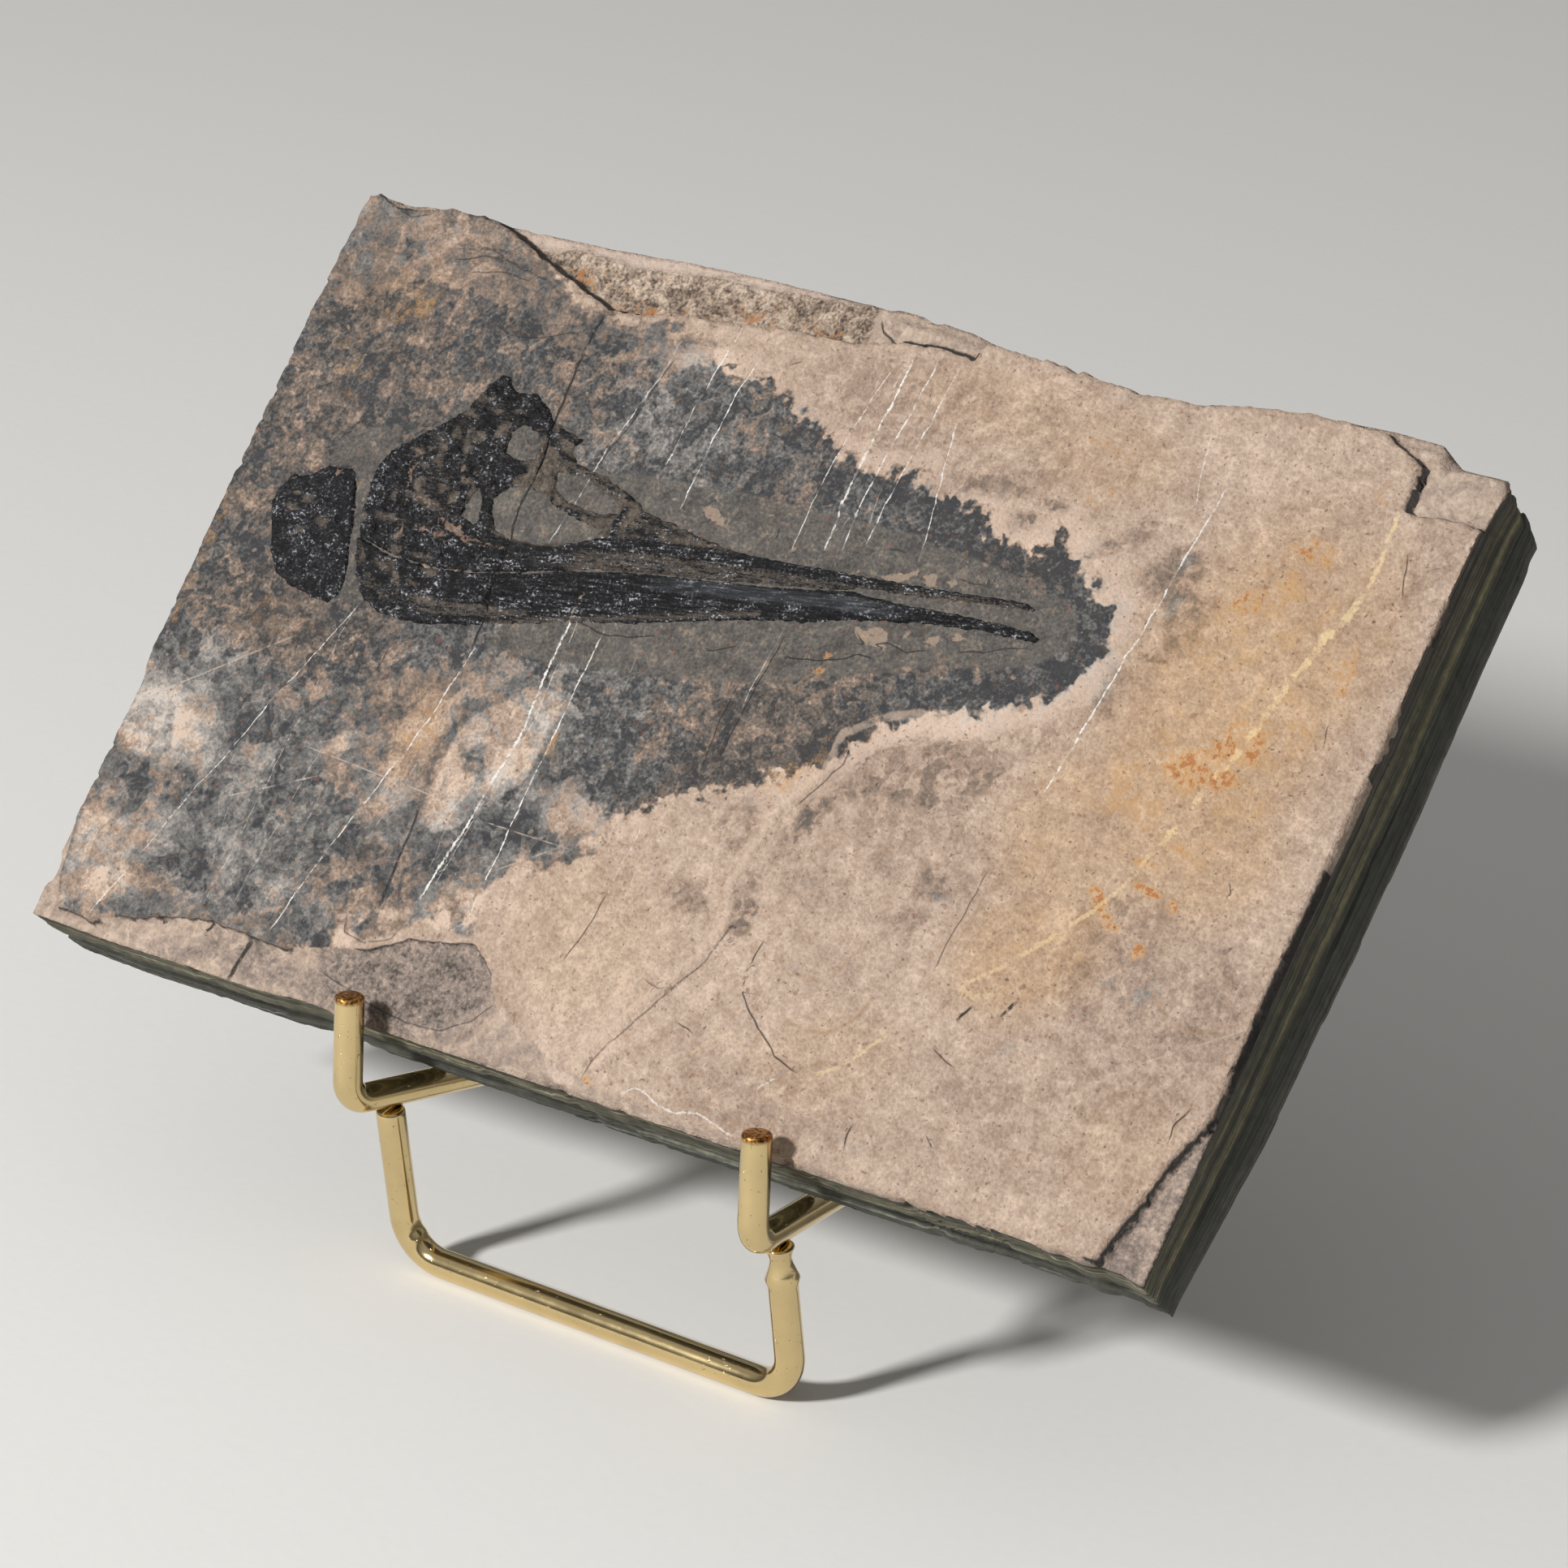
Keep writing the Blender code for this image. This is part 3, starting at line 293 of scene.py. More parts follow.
PALE_OVALS = (
    (-70, 25, 6.5, 5, -10, 0.26), (-74, 17, 2, 3, 0, 0.2), (-62, 23.6, 3.2, 2.4, 20, 0.12),
    (-71, 12, 3.4, 5, 0, 0.16), (-66, 6, 4, 2.4, 0, 0.12), (-63.5, 14, 2.4, 2.4, 0, 0.1), (-37, 25, 3, 4, 0, 0.14),
    (-49, 24, 1.6, 2.6, 0, 0.11), (-38, 10, 3, 1.6, 0, 0.1), (-41, 20, 2, 3, 0, 0.04), (-12, 28, 5, 3, 0, 0.21),
    (-18, 30, 2, 3, 0, 0.09), (-6, 35, 4, 1.5, 0, 0.1), (-72, 39, 2, 4, 0, 0.09), (-73, 60, 1.4, 3, 0, 0.06),
    (-66, 83, 5, 3, 20, 0.1), (-60, 87, 7, 3, 10, 0.1), (-73, 90, 3, 3, 0, 0.14), (-69, 89, 4, 2, 0, 0.06),
    (-21, 82, 4.5, 1.6, 0, 0.12), (-12, 45, 4, 1.2, 10, 0.09), (-8, 46.6, 2, 1.4, 0, 0.09), (-4, 42, 3, 1, 0, 0.07),
    (-22.6, 75.2, 1.6, 1.4, 0, 0.11), (-16, 73, 3, 1, 0, 0.06), (14, 80, 10, 4, 0, 0.04), (50, 86, 10, 4, 0, 0.03),
    (33.5, 57, 1.4, 1, 0, 0.19), (26, 50, 6, 1.4, 22, 0.09), (46, 50, 2, 8, 0, 0.03), (0, 12, 8, 8, 0, 0.06),
    (28, 71, 1.6, 1.4, 0, 0.19), (22.5, 76, 1, 1, 0, 0.12))
SPOTS = (
    (14, 56.4, 2.2, 1, -8, 1), (21, 58, 1.4, 0.7, 18, 1), (23.8, 58.7, 1, 0.5, 5, 1), (14, 63.7, 2.6, 0.5, 3, 1),
    (17.8, 64.2, 1.4, 0.5, 0, 1), (17.6, 64.9, 0.8, 0.4, 0, 1), (20.6, 64.6, 1, 0.35, -8, 0.8),
    (0.5, 63.1, 0.45, 0.55, 0, 1), (-11.3, 64.7, 1.8, 0.75, -4, 1), (-11.6, 63.8, 0.3, 0.5, 0, 1),
    (17.6, 57.7, 0.35, 0.4, 0, 0.8), (34.2, 53.2, 0.5, 0.5, 0, 0.9))
RUST_OVALS = (
    (57, 52, 5, 2.5, 5, 0.8), (60, 55, 4, 3, 60, 0.7), (52, 36.2, 2, 0.9, -40, 1), (54, 34.2, 2, 0.8, -30, 0.8),
    (57, 38.4, 1.8, 0.7, -10, 0.9), (60.3, 37.6, 1, 0.6, -30, 0.9), (58.6, 32.2, 0.8, 1, -20, 1),
    (55.4, 41, 1.6, 0.8, 0, 0.7), (58.6, 43.4, 2, 0.9, 0, 0.6), (55, 70.6, 3, 1.4, 20, 0.7), (58, 73, 2, 2, 0, 0.5),
    (59.4, 77.4, 3, 1.6, 0, 0.6), (68, 66, 1.2, 3, 10, 0.6), (49, 48, 2, 3, 0, 0.5), (53, 46, 2, 2, 0, 0.4),
    (65.5, 58.5, 1.6, 2, 0, 0.4), (30, 82, 5, 2, 0, 0.25), (11, 90, 2, 1, 0, 0.3), (3, 1.6, 1.2, 0.6, 0, 0.9),
    (9.6, 53.2, 0.7, 0.3, 0, 1), (9.4, 51.4, 0.6, 0.5, 0, 1), (-62, 80, 4, 2, 20, 0.4), (-66, 70, 3, 6, 30, 0.2),
    (-75, 45, 1, 8, 0, 0.3), (-35.5, 33, 2.5, 3, 0, 0.35), (11, 39, 3, 2, 40, 0.45), (-18.6, 35, 0.6, 2, 0, 0.5),
    (33, 77.5, 2.4, 1, 30, 0.4), (64, 85, 1, 3, 0, 0.3), (-60, 41, 6, 3, 20, 0.25), (14, 42, 1, 3, 0, 0.4))
WARM_OVALS = (
    (57, 58, 13, 22, -6, 0.95), (47, 29, 9, 7, 35, 0.85), (66, 68, 7, 12, 0, 0.7), (18, 85, 12, 4, 0, 0.35),
    (46, 42, 8, 10, 0, 0.75), (30, 12, 8, 5, 20, 0.35), (32, 82, 8, 5, 0, 0.45), (-4, 17, 10, 9, 0, 0.25),
    (61, 44, 9, 8, 0, 0.8), (-65, 81, 6, 3, 20, 0.5), (-36, 33, 3, 6, 0, 0.4), (66, 12, 6, 6, 0, 0.3))

# Straight scratches, from one end to the other: width, strength, ends
SCRATCHES = (
    (0.14, 0.5, (-73, 27.6), (-57, 39.4)),
    (0.12, 0.55, (-58, 18.5), (-45, 25)),
    (0.11, 0.5, (-50, 27.4), (-29, 26.1)),
    (0.11, 0.55, (-23, 25.1), (-10, 25)),
    (0.12, 0.5, (-19, 20), (-10.8, 25.6)),
    (0.12, 0.35, (62, 20), (74.5, 28.5)),
    (0.1, 0.45, (-67, 52), (-57.5, 53.6)),
)

# Calcite veins, and last a painted highlight along a raised edge: width and strength, then the points along them
WHITE_VEINS_AND_LIT_EDGE = (
    (0.2, 0.9, ((-33.5, 44), (-34.2, 40), (-35, 35), (-36.6, 29), (-38.5, 23), (-40.2, 18), (-41.6, 12),
     (-43, 6.2))),
    (0.34, 1, ((-22.9, 53), (-23.2, 48), (-23.2, 42), (-22.8, 36), (-23.6, 30), (-24.4, 24), (-25.6, 18),
     (-26, 14.5))),
    (0.2, 1, ((-18.4, 49.8), (-18.7, 44), (-18.8, 34), (-19, 26), (-19, 14))),
    (0.15, 0.9, ((-51, 44.6), (-54, 37), (-56.6, 31), (-59, 24), (-62, 16.5), (-64.6, 9), (-67.4, 1.6))),
    (0.2, 0.7, ((-25.4, 84), (-26, 79), (-27.6, 73), (-28.6, 69), (-29.2, 64), (-30.4, 57))),
    (0.2, 0.9, ((-18.5, 87), (-19.2, 82), (-20, 76), (-20.2, 68.5))),
    (0.17, 1, ((-14.6, 84), (-15.4, 80), (-15.8, 74), (-16, 64.5))),
    (0.14, 0.8, ((2.2, 87), (1.4, 83), (0.6, 79), (-0.2, 72), (-0.3, 62.8))),
    (0.28, 1, ((4, 88.5), (3.9, 82), (3.4, 77), (3.2, 71), (3.8, 64))),
    (0.22, 0.9, ((7.2, 88), (6.6, 82), (6, 76), (5.5, 70), (5.8, 64.6))),
    (0.18, 0.9, ((10, 88.6), (9.6, 83), (9, 77), (8.4, 71), (8.3, 66))),
    (0.17, 0.8, ((12.4, 82), (13.4, 77), (14.3, 72), (15, 68.5), (15.3, 65.6))),
    (0.12, 0.6, ((42, 88), (42.8, 84), (44.2, 78))),
    (0.24, 0.9, ((46.6, 82), (45.6, 76), (44.7, 68), (43.6, 61.5), (42.2, 52), (41, 45))),
    (0.14, 0.8, ((-44.1, 43.2), (-44.3, 41))),
    (0.14, 0.6, ((3.2, 54.8), (2.6, 50), (2.2, 45))),
    (0.12, 0.6, ((-3.2, 30), (-3.7, 21))),
    (0.4, 0.8, ((23.6, 6.6), (25.4, 8.6))),
    # Not a vein: a painted highlight where light catches a raised edge near the bottom
    (0.26, 0.6, ((8, 1.4), (9.8, 2.9), (11.6, 2.6), (13.2, 1.8), (15.6, 1.7), (18, 2.4), (20.4, 1.8), (24, 1.2))),
)
FINE_VEINS = (
    (0.18, 1, ((-22.1, 50), (-22.2, 43), (-22, 38), (-22.6, 33), (-23.6, 27), (-24.4, 21), (-25, 16.6))),
    (0.13, 0.8, ((-51.4, 44), (-51.6, 36), (-52, 26), (-52.4, 16), (-53, 6.4))),
    (0.13, 0.7, ((-47, 28.6), (-47.8, 22), (-48.6, 14), (-49.2, 7))),
    (0.12, 0.7, ((7.6, 77), (7.2, 72), (7.6, 67.8))),
    (0.12, 0.6, ((-27.4, 30), (-26.8, 24), (-26.4, 18))),
    (0.12, 0.6, ((-44.6, 24), (-44.8, 14), (-45.2, 7))),
    (0.12, 0.5, ((-57.4, 28), (-56, 20), (-53.4, 6.6))),
    (0.12, 0.6, ((-34, 30.4), (-34.8, 24), (-36.4, 18))),
    (0.12, 0.5, ((-1.2, 30), (-1.6, 21))),
    (0.12, 0.6, ((-3.6, 88), (-4.4, 80))),
    (0.13, 0.6, ((-32.6, 45.4), (-32.2, 42))),
    (0.12, 0.6, ((-13, 48), (-13.4, 38))),
    (0.12, 0.6, ((0.8, 88), (1, 83), (2, 77))),
)
YELLOW_VEINS = (
    (0.34, 0.9, ((66.3, 83.8), (66.7, 78), (66.6, 74))),
    (0.8, 1, ((66.6, 74.6), (65.6, 71.6), (64, 68.4), (63.2, 64.6))),
    (0.55, 1, ((63.4, 66), (61.4, 59.5), (59.6, 53), (57.5, 48), (56.2, 43.6))),
    (0.4, 0.7, ((56.6, 45), (54.4, 39), (51.6, 34.4), (48, 30.2), (44.6, 26.4), (41, 23.2))),
    (0.3, 0.7, ((36.4, 17.6), (35, 15.6), (33, 13), (30.8, 11), (28.6, 9.4))),
    (0.26, 0.6, ((14, 7.6), (17.2, 11.4), (19.8, 10.6), (24, 9.8))),
    (0.4, 0.5, ((46, 23.6), (43, 22.8), (40.2, 23.4))),
)

# Every kind of line on the stone. Each has two number fields: where the lines run, and how they show.
LINE_KINDS = (("white", WHITE_VEINS_AND_LIT_EDGE), ("fine", FINE_VEINS), ("yellow", YELLOW_VEINS),
              ("crack", FINE_CRACKS), ("tan", TAN_LINES))

# The bones. The seam is the line where the upper and the lower jaw meet.
SEAM = (
    (-55.3, 52.2), (-50, 51.1), (-44, 50.9), (-38, 51.7), (-32, 53.1), (-26, 54.8), (-20, 56.1), (-14, 57.1),
    (-8, 57.9), (0, 59.1), (5, 60), (9, 60.8))
SNOUT_UNDER = ((10, 61.3), (15, 61.8), (20, 62.4), (25, 63), (31, 63.5))
SNOUT_TOP = (
    (-32.6, 68), (-31, 66.9), (-27, 66.3), (-23, 65), (-20, 63.6), (-15, 62.9), (-10, 62.1), (-5, 61.8), (0, 62.1),
    (10, 62.8), (20, 63.5), (30, 64.5), (31.6, 63.9))
SKULL_BACK = (
    (-32, 69.8), (-36.5, 70.9), (-38.4, 72.4), (-40.5, 73.8), (-43.6, 73.2), (-45, 74.8), (-46.4, 74.8),
    (-47.5, 73), (-48.6, 70.2), (-50.4, 68), (-53.5, 65.4), (-56, 63.2), (-57.1, 59.8), (-56.6, 57.5), (-56.3, 55),
    (-55.6, 53.2))
SKULL_OUTLINE = SEAM + SNOUT_UNDER + SNOUT_TOP[::-1] + SKULL_BACK
JAW_TOP = ((14, 60.8), (20, 61.2), (26, 61.5), (32, 61.6), (33.2, 61))
JAW_UNDER = (
    (-55, 51), (-54.3, 49.6), (-53.2, 47.8), (-52, 46.2), (-50.5, 45.1), (-48, 44.4), (-45, 44.2), (-42, 44.4),
    (-39, 45), (-35, 45.9), (-30.5, 47), (-25, 48.6), (-20, 49.8), (-15, 51), (-10, 52.4), (-5, 53.8), (0, 55),
    (5, 56), (10, 57.4), (15, 58.6), (20, 59.5), (26, 60.1), (33, 60.4))
GILL_COVER = (
    (-68.8, 53), (-67.3, 50.5), (-66, 47.8), (-64, 45.6), (-61, 44.4), (-58, 43.9), (-55.2, 43.8), (-54.1, 45.2),
    (-54.3, 47.2), (-55.1, 49.4), (-56, 51.2), (-56.6, 53.2), (-57.4, 55.3), (-58.3, 57.2), (-59.4, 59.2),
    (-60.3, 59.6), (-63.5, 59.3), (-65.5, 57.6), (-67.7, 57.2), (-68.9, 55.2))
WINDOWS = (
    ((-40, 60.5), (-39, 58.6), (-37.8, 57.2), (-36, 56.7), (-32, 56.9), (-28, 57.9), (-25.2, 58.9), (-25, 60),
     (-27.5, 60.4), (-31.5, 61.3), (-33.5, 62.2), (-36, 62.6), (-38.5, 62)),
    ((-41, 66), (-38.8, 65.7), (-37.2, 66.2), (-37.2, 67.6), (-38.4, 69.2), (-40.4, 69.6), (-41.4, 68.4)),
    ((-43.2, 57.7), (-40.8, 57), (-41.2, 59.4), (-42.4, 61.2)),
    ((-33.2, 65.2), (-32.6, 63.6), (-30.5, 62.4), (-26, 62), (-23.2, 62.6), (-24.2, 63.6), (-26.5, 64.5),
     (-30, 65.5)),
)
# The upper edge of the snout is a rod of solid bone
ROD_UNDER = (
    (-36, 55.9), (-32, 55.9), (-29.2, 56.3), (-26.6, 57), (-23.2, 57.7), (-18.9, 58.6), (-13.6, 59.2), (-8.8, 59.6),
    (-4, 60), (-1.5, 60.4), (5.2, 61.1), (11.4, 61.7), (16.4, 62.4), (22, 63.1), (31.8, 64))
ROD_TOP = (
    (-36, 56.2), (-32, 56.3), (-29.2, 56.8), (-26.6, 58), (-24.6, 58.9), (-22, 59.7), (-18.9, 60.2), (-16, 60.6),
    (-12.9, 60.8), (-10, 61.2), (-4, 61.8), (2.4, 62.4), (11.4, 62.9), (19.2, 63.7), (31.8, 65))
SHEEN_LINE = ((-19, 54.9), (-12, 56.2), (-5, 57.2), (3, 58.3), (10, 59.2), (17, 59.9))

# Strokes of bone above and below the rod: width, then the points along it
SNOUT_STROKES = (
    (1.2, ((-39, 70.8), (-36.4, 69.4), (-35.2, 68.4))),
    (0.6, ((-35.4, 68.4), (-33.8, 67.4), (-31.8, 66.9))),
    (0.3, ((-31.8, 66.9), (-29.4, 66.1), (-25.6, 64.9), (-22.4, 64.5))),
    (1, ((-35, 69.9), (-31.8, 69))),
    (0.55, ((-30.9, 65.4), (-30.3, 65.4))),
    (0.8, ((-28.6, 64.2), (-26.8, 64))),
    (0.45, ((-27, 63.8), (-24.3, 63.4))),
    (0.18, ((-34, 66.8), (-30, 65.2), (-27.4, 64.9))),
    (0.2, ((-34, 65.2), (-31.8, 63.2), (-30.4, 62.6))),
    (0.6, ((-32.4, 61.8), (-31.2, 61.3))),
    (0.75, ((-31.4, 61.2), (-29.4, 60.9), (-27.8, 61))),
    (0.18, ((-28, 61.2), (-25.6, 61.4), (-23.6, 62.2))),
    (0.75, ((-22.4, 63), (-22.8, 61.8), (-23.2, 60.8))),
    (0.9, ((-22.9, 60.6), (-22.4, 59.6), (-22.2, 58.8))),
    (0.5, ((-23, 65), (-22, 64.7))),
    (0.35, ((-22.2, 64.4), (-20.8, 64.1))),
    (0.75, ((-20.1, 62.9), (-18.2, 62.5))),
    (0.55, ((-18.4, 62.4), (-16, 62), (-13.6, 61.7))),
    (0.16, ((-20.3, 63.8), (-17, 63.1), (-13.6, 62.7), (-10, 62.4), (-5.2, 61.9))),
    (0.18, ((-20.8, 62.3), (-18.6, 61.6), (-16.7, 61.2))),
    (0.4, ((-13.6, 62.4), (-10.8, 62.1), (-8.4, 62))),
    (0.9, ((-21, 60.9), (-19, 61), (-17.2, 60.9))),
    (0.3, ((-26, 56.9), (-22.2, 57.1), (-18.9, 57.6), (-11.2, 58.5), (-4, 59.1), (5, 60.3), (15.3, 61.7),
     (20, 62.3))),
    (0.14, ((-24, 57.5), (-18.9, 58.2), (-11.2, 59), (-4, 59.6), (5, 60.8), (13, 61.6))),
    (0.16, ((-30, 55.4), (-24, 56.3), (-18.9, 56.8), (-11.2, 57.9), (-4, 58.5))),
)
# Parts of the skull where the bone is whole, and stone between the bones: middle, half sizes,
# turn in degrees, strength
SOLID_BONE = (
    (-54, 60, 3.2, 5, -15, 1), (-55, 56, 2, 3, 0, 1), (-41, 72, 4.6, 1.6, -18, 1), (-46, 73.6, 1.6, 1.6, 0, 1),
    (-44.5, 66, 1.6, 5, 10, 0.9), (-39, 63.8, 3, 1.4, 20, 0.9), (-49, 66, 1, 4, 24, 0.8),
    (-46, 56.4, 10, 0.7, -4, 0.8), (-42, 60.6, 1, 4, 30, 0.8), (-44, 53.4, 11, 1.6, 2, 1),
    (-52, 52.6, 4, 1.4, -4, 1))
SKULL_STONE = (
    (-48.6, 66.6, 0.6, 0.8, 0, 1), (-45.3, 66.9, 0.8, 0.6, 0, 1), (-46.7, 66.6, 0.4, 1.4, -8, 1),
    (-46.1, 65, 0.5, 0.8, 0, 1), (-46.6, 71.4, 1.3, 0.45, 10, 1), (-47.8, 69.4, 1.3, 0.5, -20, 1),
    (-44.6, 70.4, 1, 0.4, 0, 1), (-42.6, 68.4, 1, 1, 0, 1), (-49.4, 64.7, 0.45, 1.3, 22, 1),
    (-52.2, 63.5, 1, 0.4, -12, 1), (-51.2, 64.4, 1.3, 0.25, 25, 1), (-49.6, 63.4, 0.4, 0.6, 0, 1),
    (-49, 62.5, 0.3, 0.7, 10, 1), (-45.5, 62.9, 0.5, 0.45, 0, 1), (-43.8, 62.8, 0.35, 0.3, 0, 1),
    (-44.3, 61.6, 1, 0.3, -15, 1), (-43, 60.4, 0.5, 1.1, 15, 1), (-45, 59.2, 0.6, 0.9, 0, 1),
    (-50.3, 59.7, 0.9, 0.9, 0, 1), (-50.9, 60.5, 0.6, 0.4, 0, 1), (-49.4, 58.7, 1, 0.4, 0, 1),
    (-48.4, 58.1, 2.7, 0.24, -5, 1), (-47.4, 57.5, 1.8, 0.2, -6, 1), (-55.5, 54.4, 0.6, 0.4, 0, 1),
    (-52.2, 55.2, 2, 0.3, 3, 1), (-50.1, 53.7, 0.45, 1.2, -6, 1), (-49.3, 51.9, 0.7, 0.6, 0, 1),
    (-45.5, 51.8, 1.6, 0.3, 5, 1), (-41.6, 70.9, 0.9, 0.25, 0, 1), (-47.4, 61, 1.6, 0.2, -8, 1),
    (-52.8, 57.4, 0.2, 1.2, 12, 1), (-47, 60, 1, 0.3, -5, 1), (-51, 62, 0.9, 0.2, 0, 1))
CHEEK_STREAKS = (
    (-43.3, 55.9, 2.2, 0.42, -14, 1), (-46.9, 54.8, 0.8, 0.35, -4, 1), (-44.5, 54.8, 0.7, 0.38, 0, 1),
    (-39.6, 55.2, 3.4, 0.18, -2, 1), (-48.6, 58.15, 2, 0.14, -5, 1), (-52.2, 63.5, 0.7, 0.22, -12, 1),
    (-45.5, 62.9, 0.35, 0.3, 0, 1), (-50.1, 53.9, 0.3, 0.8, -6, 1), (-44.3, 61.6, 0.7, 0.2, -15, 1),
    (-42.3, 59.3, 0.18, 0.8, -8, 1), (-51.7, 60, 0.16, 2.2, 14, 0.8), (-41, 54.9, 1.4, 0.16, -10, 1))
JAW_STONE = (
    (-47.8, 48.6, 2.3, 0.5, -50, 1), (-50.3, 49.6, 1.3, 0.4, -8, 1), (-50.2, 47.6, 1.6, 0.16, -22, 1),
    (-49, 46.5, 2.2, 0.18, -14, 1), (-43.6, 50.5, 1, 0.7, 0, 1), (-42, 46.9, 2.4, 0.6, 2, 1),
    (-37.4, 47.6, 3.6, 0.32, 8, 1), (-32, 48.1, 3.4, 0.3, 7, 1), (-38, 46.6, 4.5, 0.24, 9, 1),
    (-53.6, 50.2, 0.4, 1.2, 35, 1), (-45.4, 48.6, 1, 0.25, -10, 1))
JAW_STONE_STROKES = (
    (0.34, ((-34, 46.3), (-27, 48.3), (-23, 49.4), (-18.4, 50.6), (-13.6, 52), (-8.8, 53.3), (-4, 54.6),
     (-0.4, 55.6))),
)
GILL_STONE = (
    (-65.6, 53.4, 0.9, 0.4, 0, 1), (-64, 54.8, 0.8, 0.5, 20, 1), (-66, 55.2, 0.5, 0.3, 0, 1),
    (-60.6, 52.6, 0.7, 0.5, 0, 0.6), (-63.2, 51, 1.2, 0.16, 30, 1))
GILL_MIDDLE, GILL_RADIUS = (-61.5, 51.5), 8.2
GILL_STREAKS = ((-61.8, 58.7, 0.45, 0.45, 0, 1),)

# The boxes that the bones lie in: lower left corner, upper right corner
SKULL_BOX = ((-58.5, 50.0), (33.0, 76.0))
JAW_BOX = ((-57.0, 43.0), (35.0, 63.0))
GILL_BOX = ((-70.5, 42.0), (-52.5, 61.5))

# Smooth grey-green stone behind the skull, between it and the gill cover
BEHIND_SKULL = (
    (-63.6, 59.9), (-63.2, 62), (-61.6, 64.4), (-58.4, 65.4), (-56.2, 65), (-56, 61.6), (-56.6, 58.4),
    (-56.2, 55.8), (-54.2, 51.6), (-52.4, 47.6), (-50.6, 45.4), (-51.6, 44.2), (-53.8, 44.4), (-55.4, 47.6),
    (-56.2, 51), (-57.4, 55.6), (-58.6, 58.6), (-60.4, 60.2))


# Numbers over many points at once: x and y are arrays, in millimetres

FAR = 1e9
FAR_OUTSIDE = -1e3
# Lines wander by this much, show within this reach, and fade out over this length at their ends
LINE_WANDER, LINE_REACH, LINE_FADE = 0.16, 0.8, 1.2


def hashed(column, row, seed):
    """A number from 0 to 1 for each whole-numbered point."""
    bits = (column * 374761393 + row * 668265263 + seed * 144269504) & 0xFFFFFFFF
    bits = ((bits ^ (bits >> 13)) * 1274126177) & 0xFFFFFFFF
    return ((bits ^ (bits >> 16)) & 0xFFFF) / 65535.0


def ripple(x, y, seed):
    """Smooth noise from about -1 to 1, with lumps one unit across."""
    column = np.floor(x).astype(np.int64)
    row = np.floor(y).astype(np.int64)
    across = x - column
    up = y - row
    ease_x = across ** 3 * (across * (across * 6.0 - 15.0) + 10.0)
    ease_y = up ** 3 * (up * (up * 6.0 - 15.0) + 10.0)
    total = 0.0
    for right in (0, 1):
        for top in (0, 1):
            turn = hashed(column + right, row + top, seed) * math.tau
            slope = np.cos(turn) * (across - right) + np.sin(turn) * (up - top)
            share_x = ease_x if right else 1.0 - ease_x
            share_y = ease_y if top else 1.0 - ease_y
            total = total + slope * share_x * share_y
    return total * 1.5


def lumps(x, y, size, seed, octaves=3):
    """Noise with lumps of this size, and finer ones on them."""
    total = 0.0
    for octave in range(octaves):
        finer = 2.0 ** octave
        total = total + ripple(x * finer / size + 7.3 * octave, y * finer / size, seed + octave) / finer
    return total


def ease(low, high, value):
    """0 up to low and 1 from high on, and a soft rise between them."""
    part = np.clip((value - low) / (high - low), 0.0, 1.0)
    return part * part * (3.0 - 2.0 * part)


def mixed(low, high, share):
    """low where the share is 0, high where it is 1."""
    return low + (high - low) * share


def line_distance(x, y, line):
    """How far each point is from a line of points."""
    nearest = np.full(x.shape, FAR)
    for (x0, y0), (x1, y1) in zip(line, line[1:]):
        dx, dy = x1 - x0, y1 - y0
        along = np.clip(((x - x0) * dx + (y - y0) * dy) / (dx * dx + dy * dy), 0.0, 1.0)
        nearest = np.minimum(nearest, np.hypot(x - x0 - along * dx, y - y0 - along * dy))
    return nearest


def inside_distance(x, y, outline):
    """How far each point is inside an outline, and less than nothing outside it."""
    closed = tuple(outline) + (outline[0],)
    inside = np.zeros(x.shape, bool)
    for (x0, y0), (x1, y1) in zip(closed, closed[1:]):
        if y0 != y1:
            inside ^= ((y0 > y) != (y1 > y)) & (x < (x1 - x0) * (y - y0) / (y1 - y0) + x0)
    distance = line_distance(x, y, closed)
    return np.where(inside, distance, -distance)


def height_of(line, x):
    """The y of a line at each x. The line runs from left to right."""
    return np.interp(x, [point[0] for point in line], [point[1] for point in line])


def from_middle(x, y, oval):
    """How far out each point is in an oval: 0 at its middle and 1 on its edge."""
    middle_x, middle_y, half_x, half_y, turn, _ = oval
    cos, sin = math.cos(math.radians(turn)), math.sin(math.radians(turn))
    along = ((x - middle_x) * cos + (y - middle_y) * sin) / half_x
    across = ((y - middle_y) * cos - (x - middle_x) * sin) / half_y
    return np.hypot(along, across)


def painted(x, y, ovals, soft=0.40):
    """The strongest of several ovals at each point, from 0 to 1. Their edges are more or less soft."""
    total = np.zeros(x.shape)
    for oval in ovals:
        total = np.maximum(total, oval[-1] * ease(1.0 + soft, 1.0 - soft, from_middle(x, y, oval)))
    return total


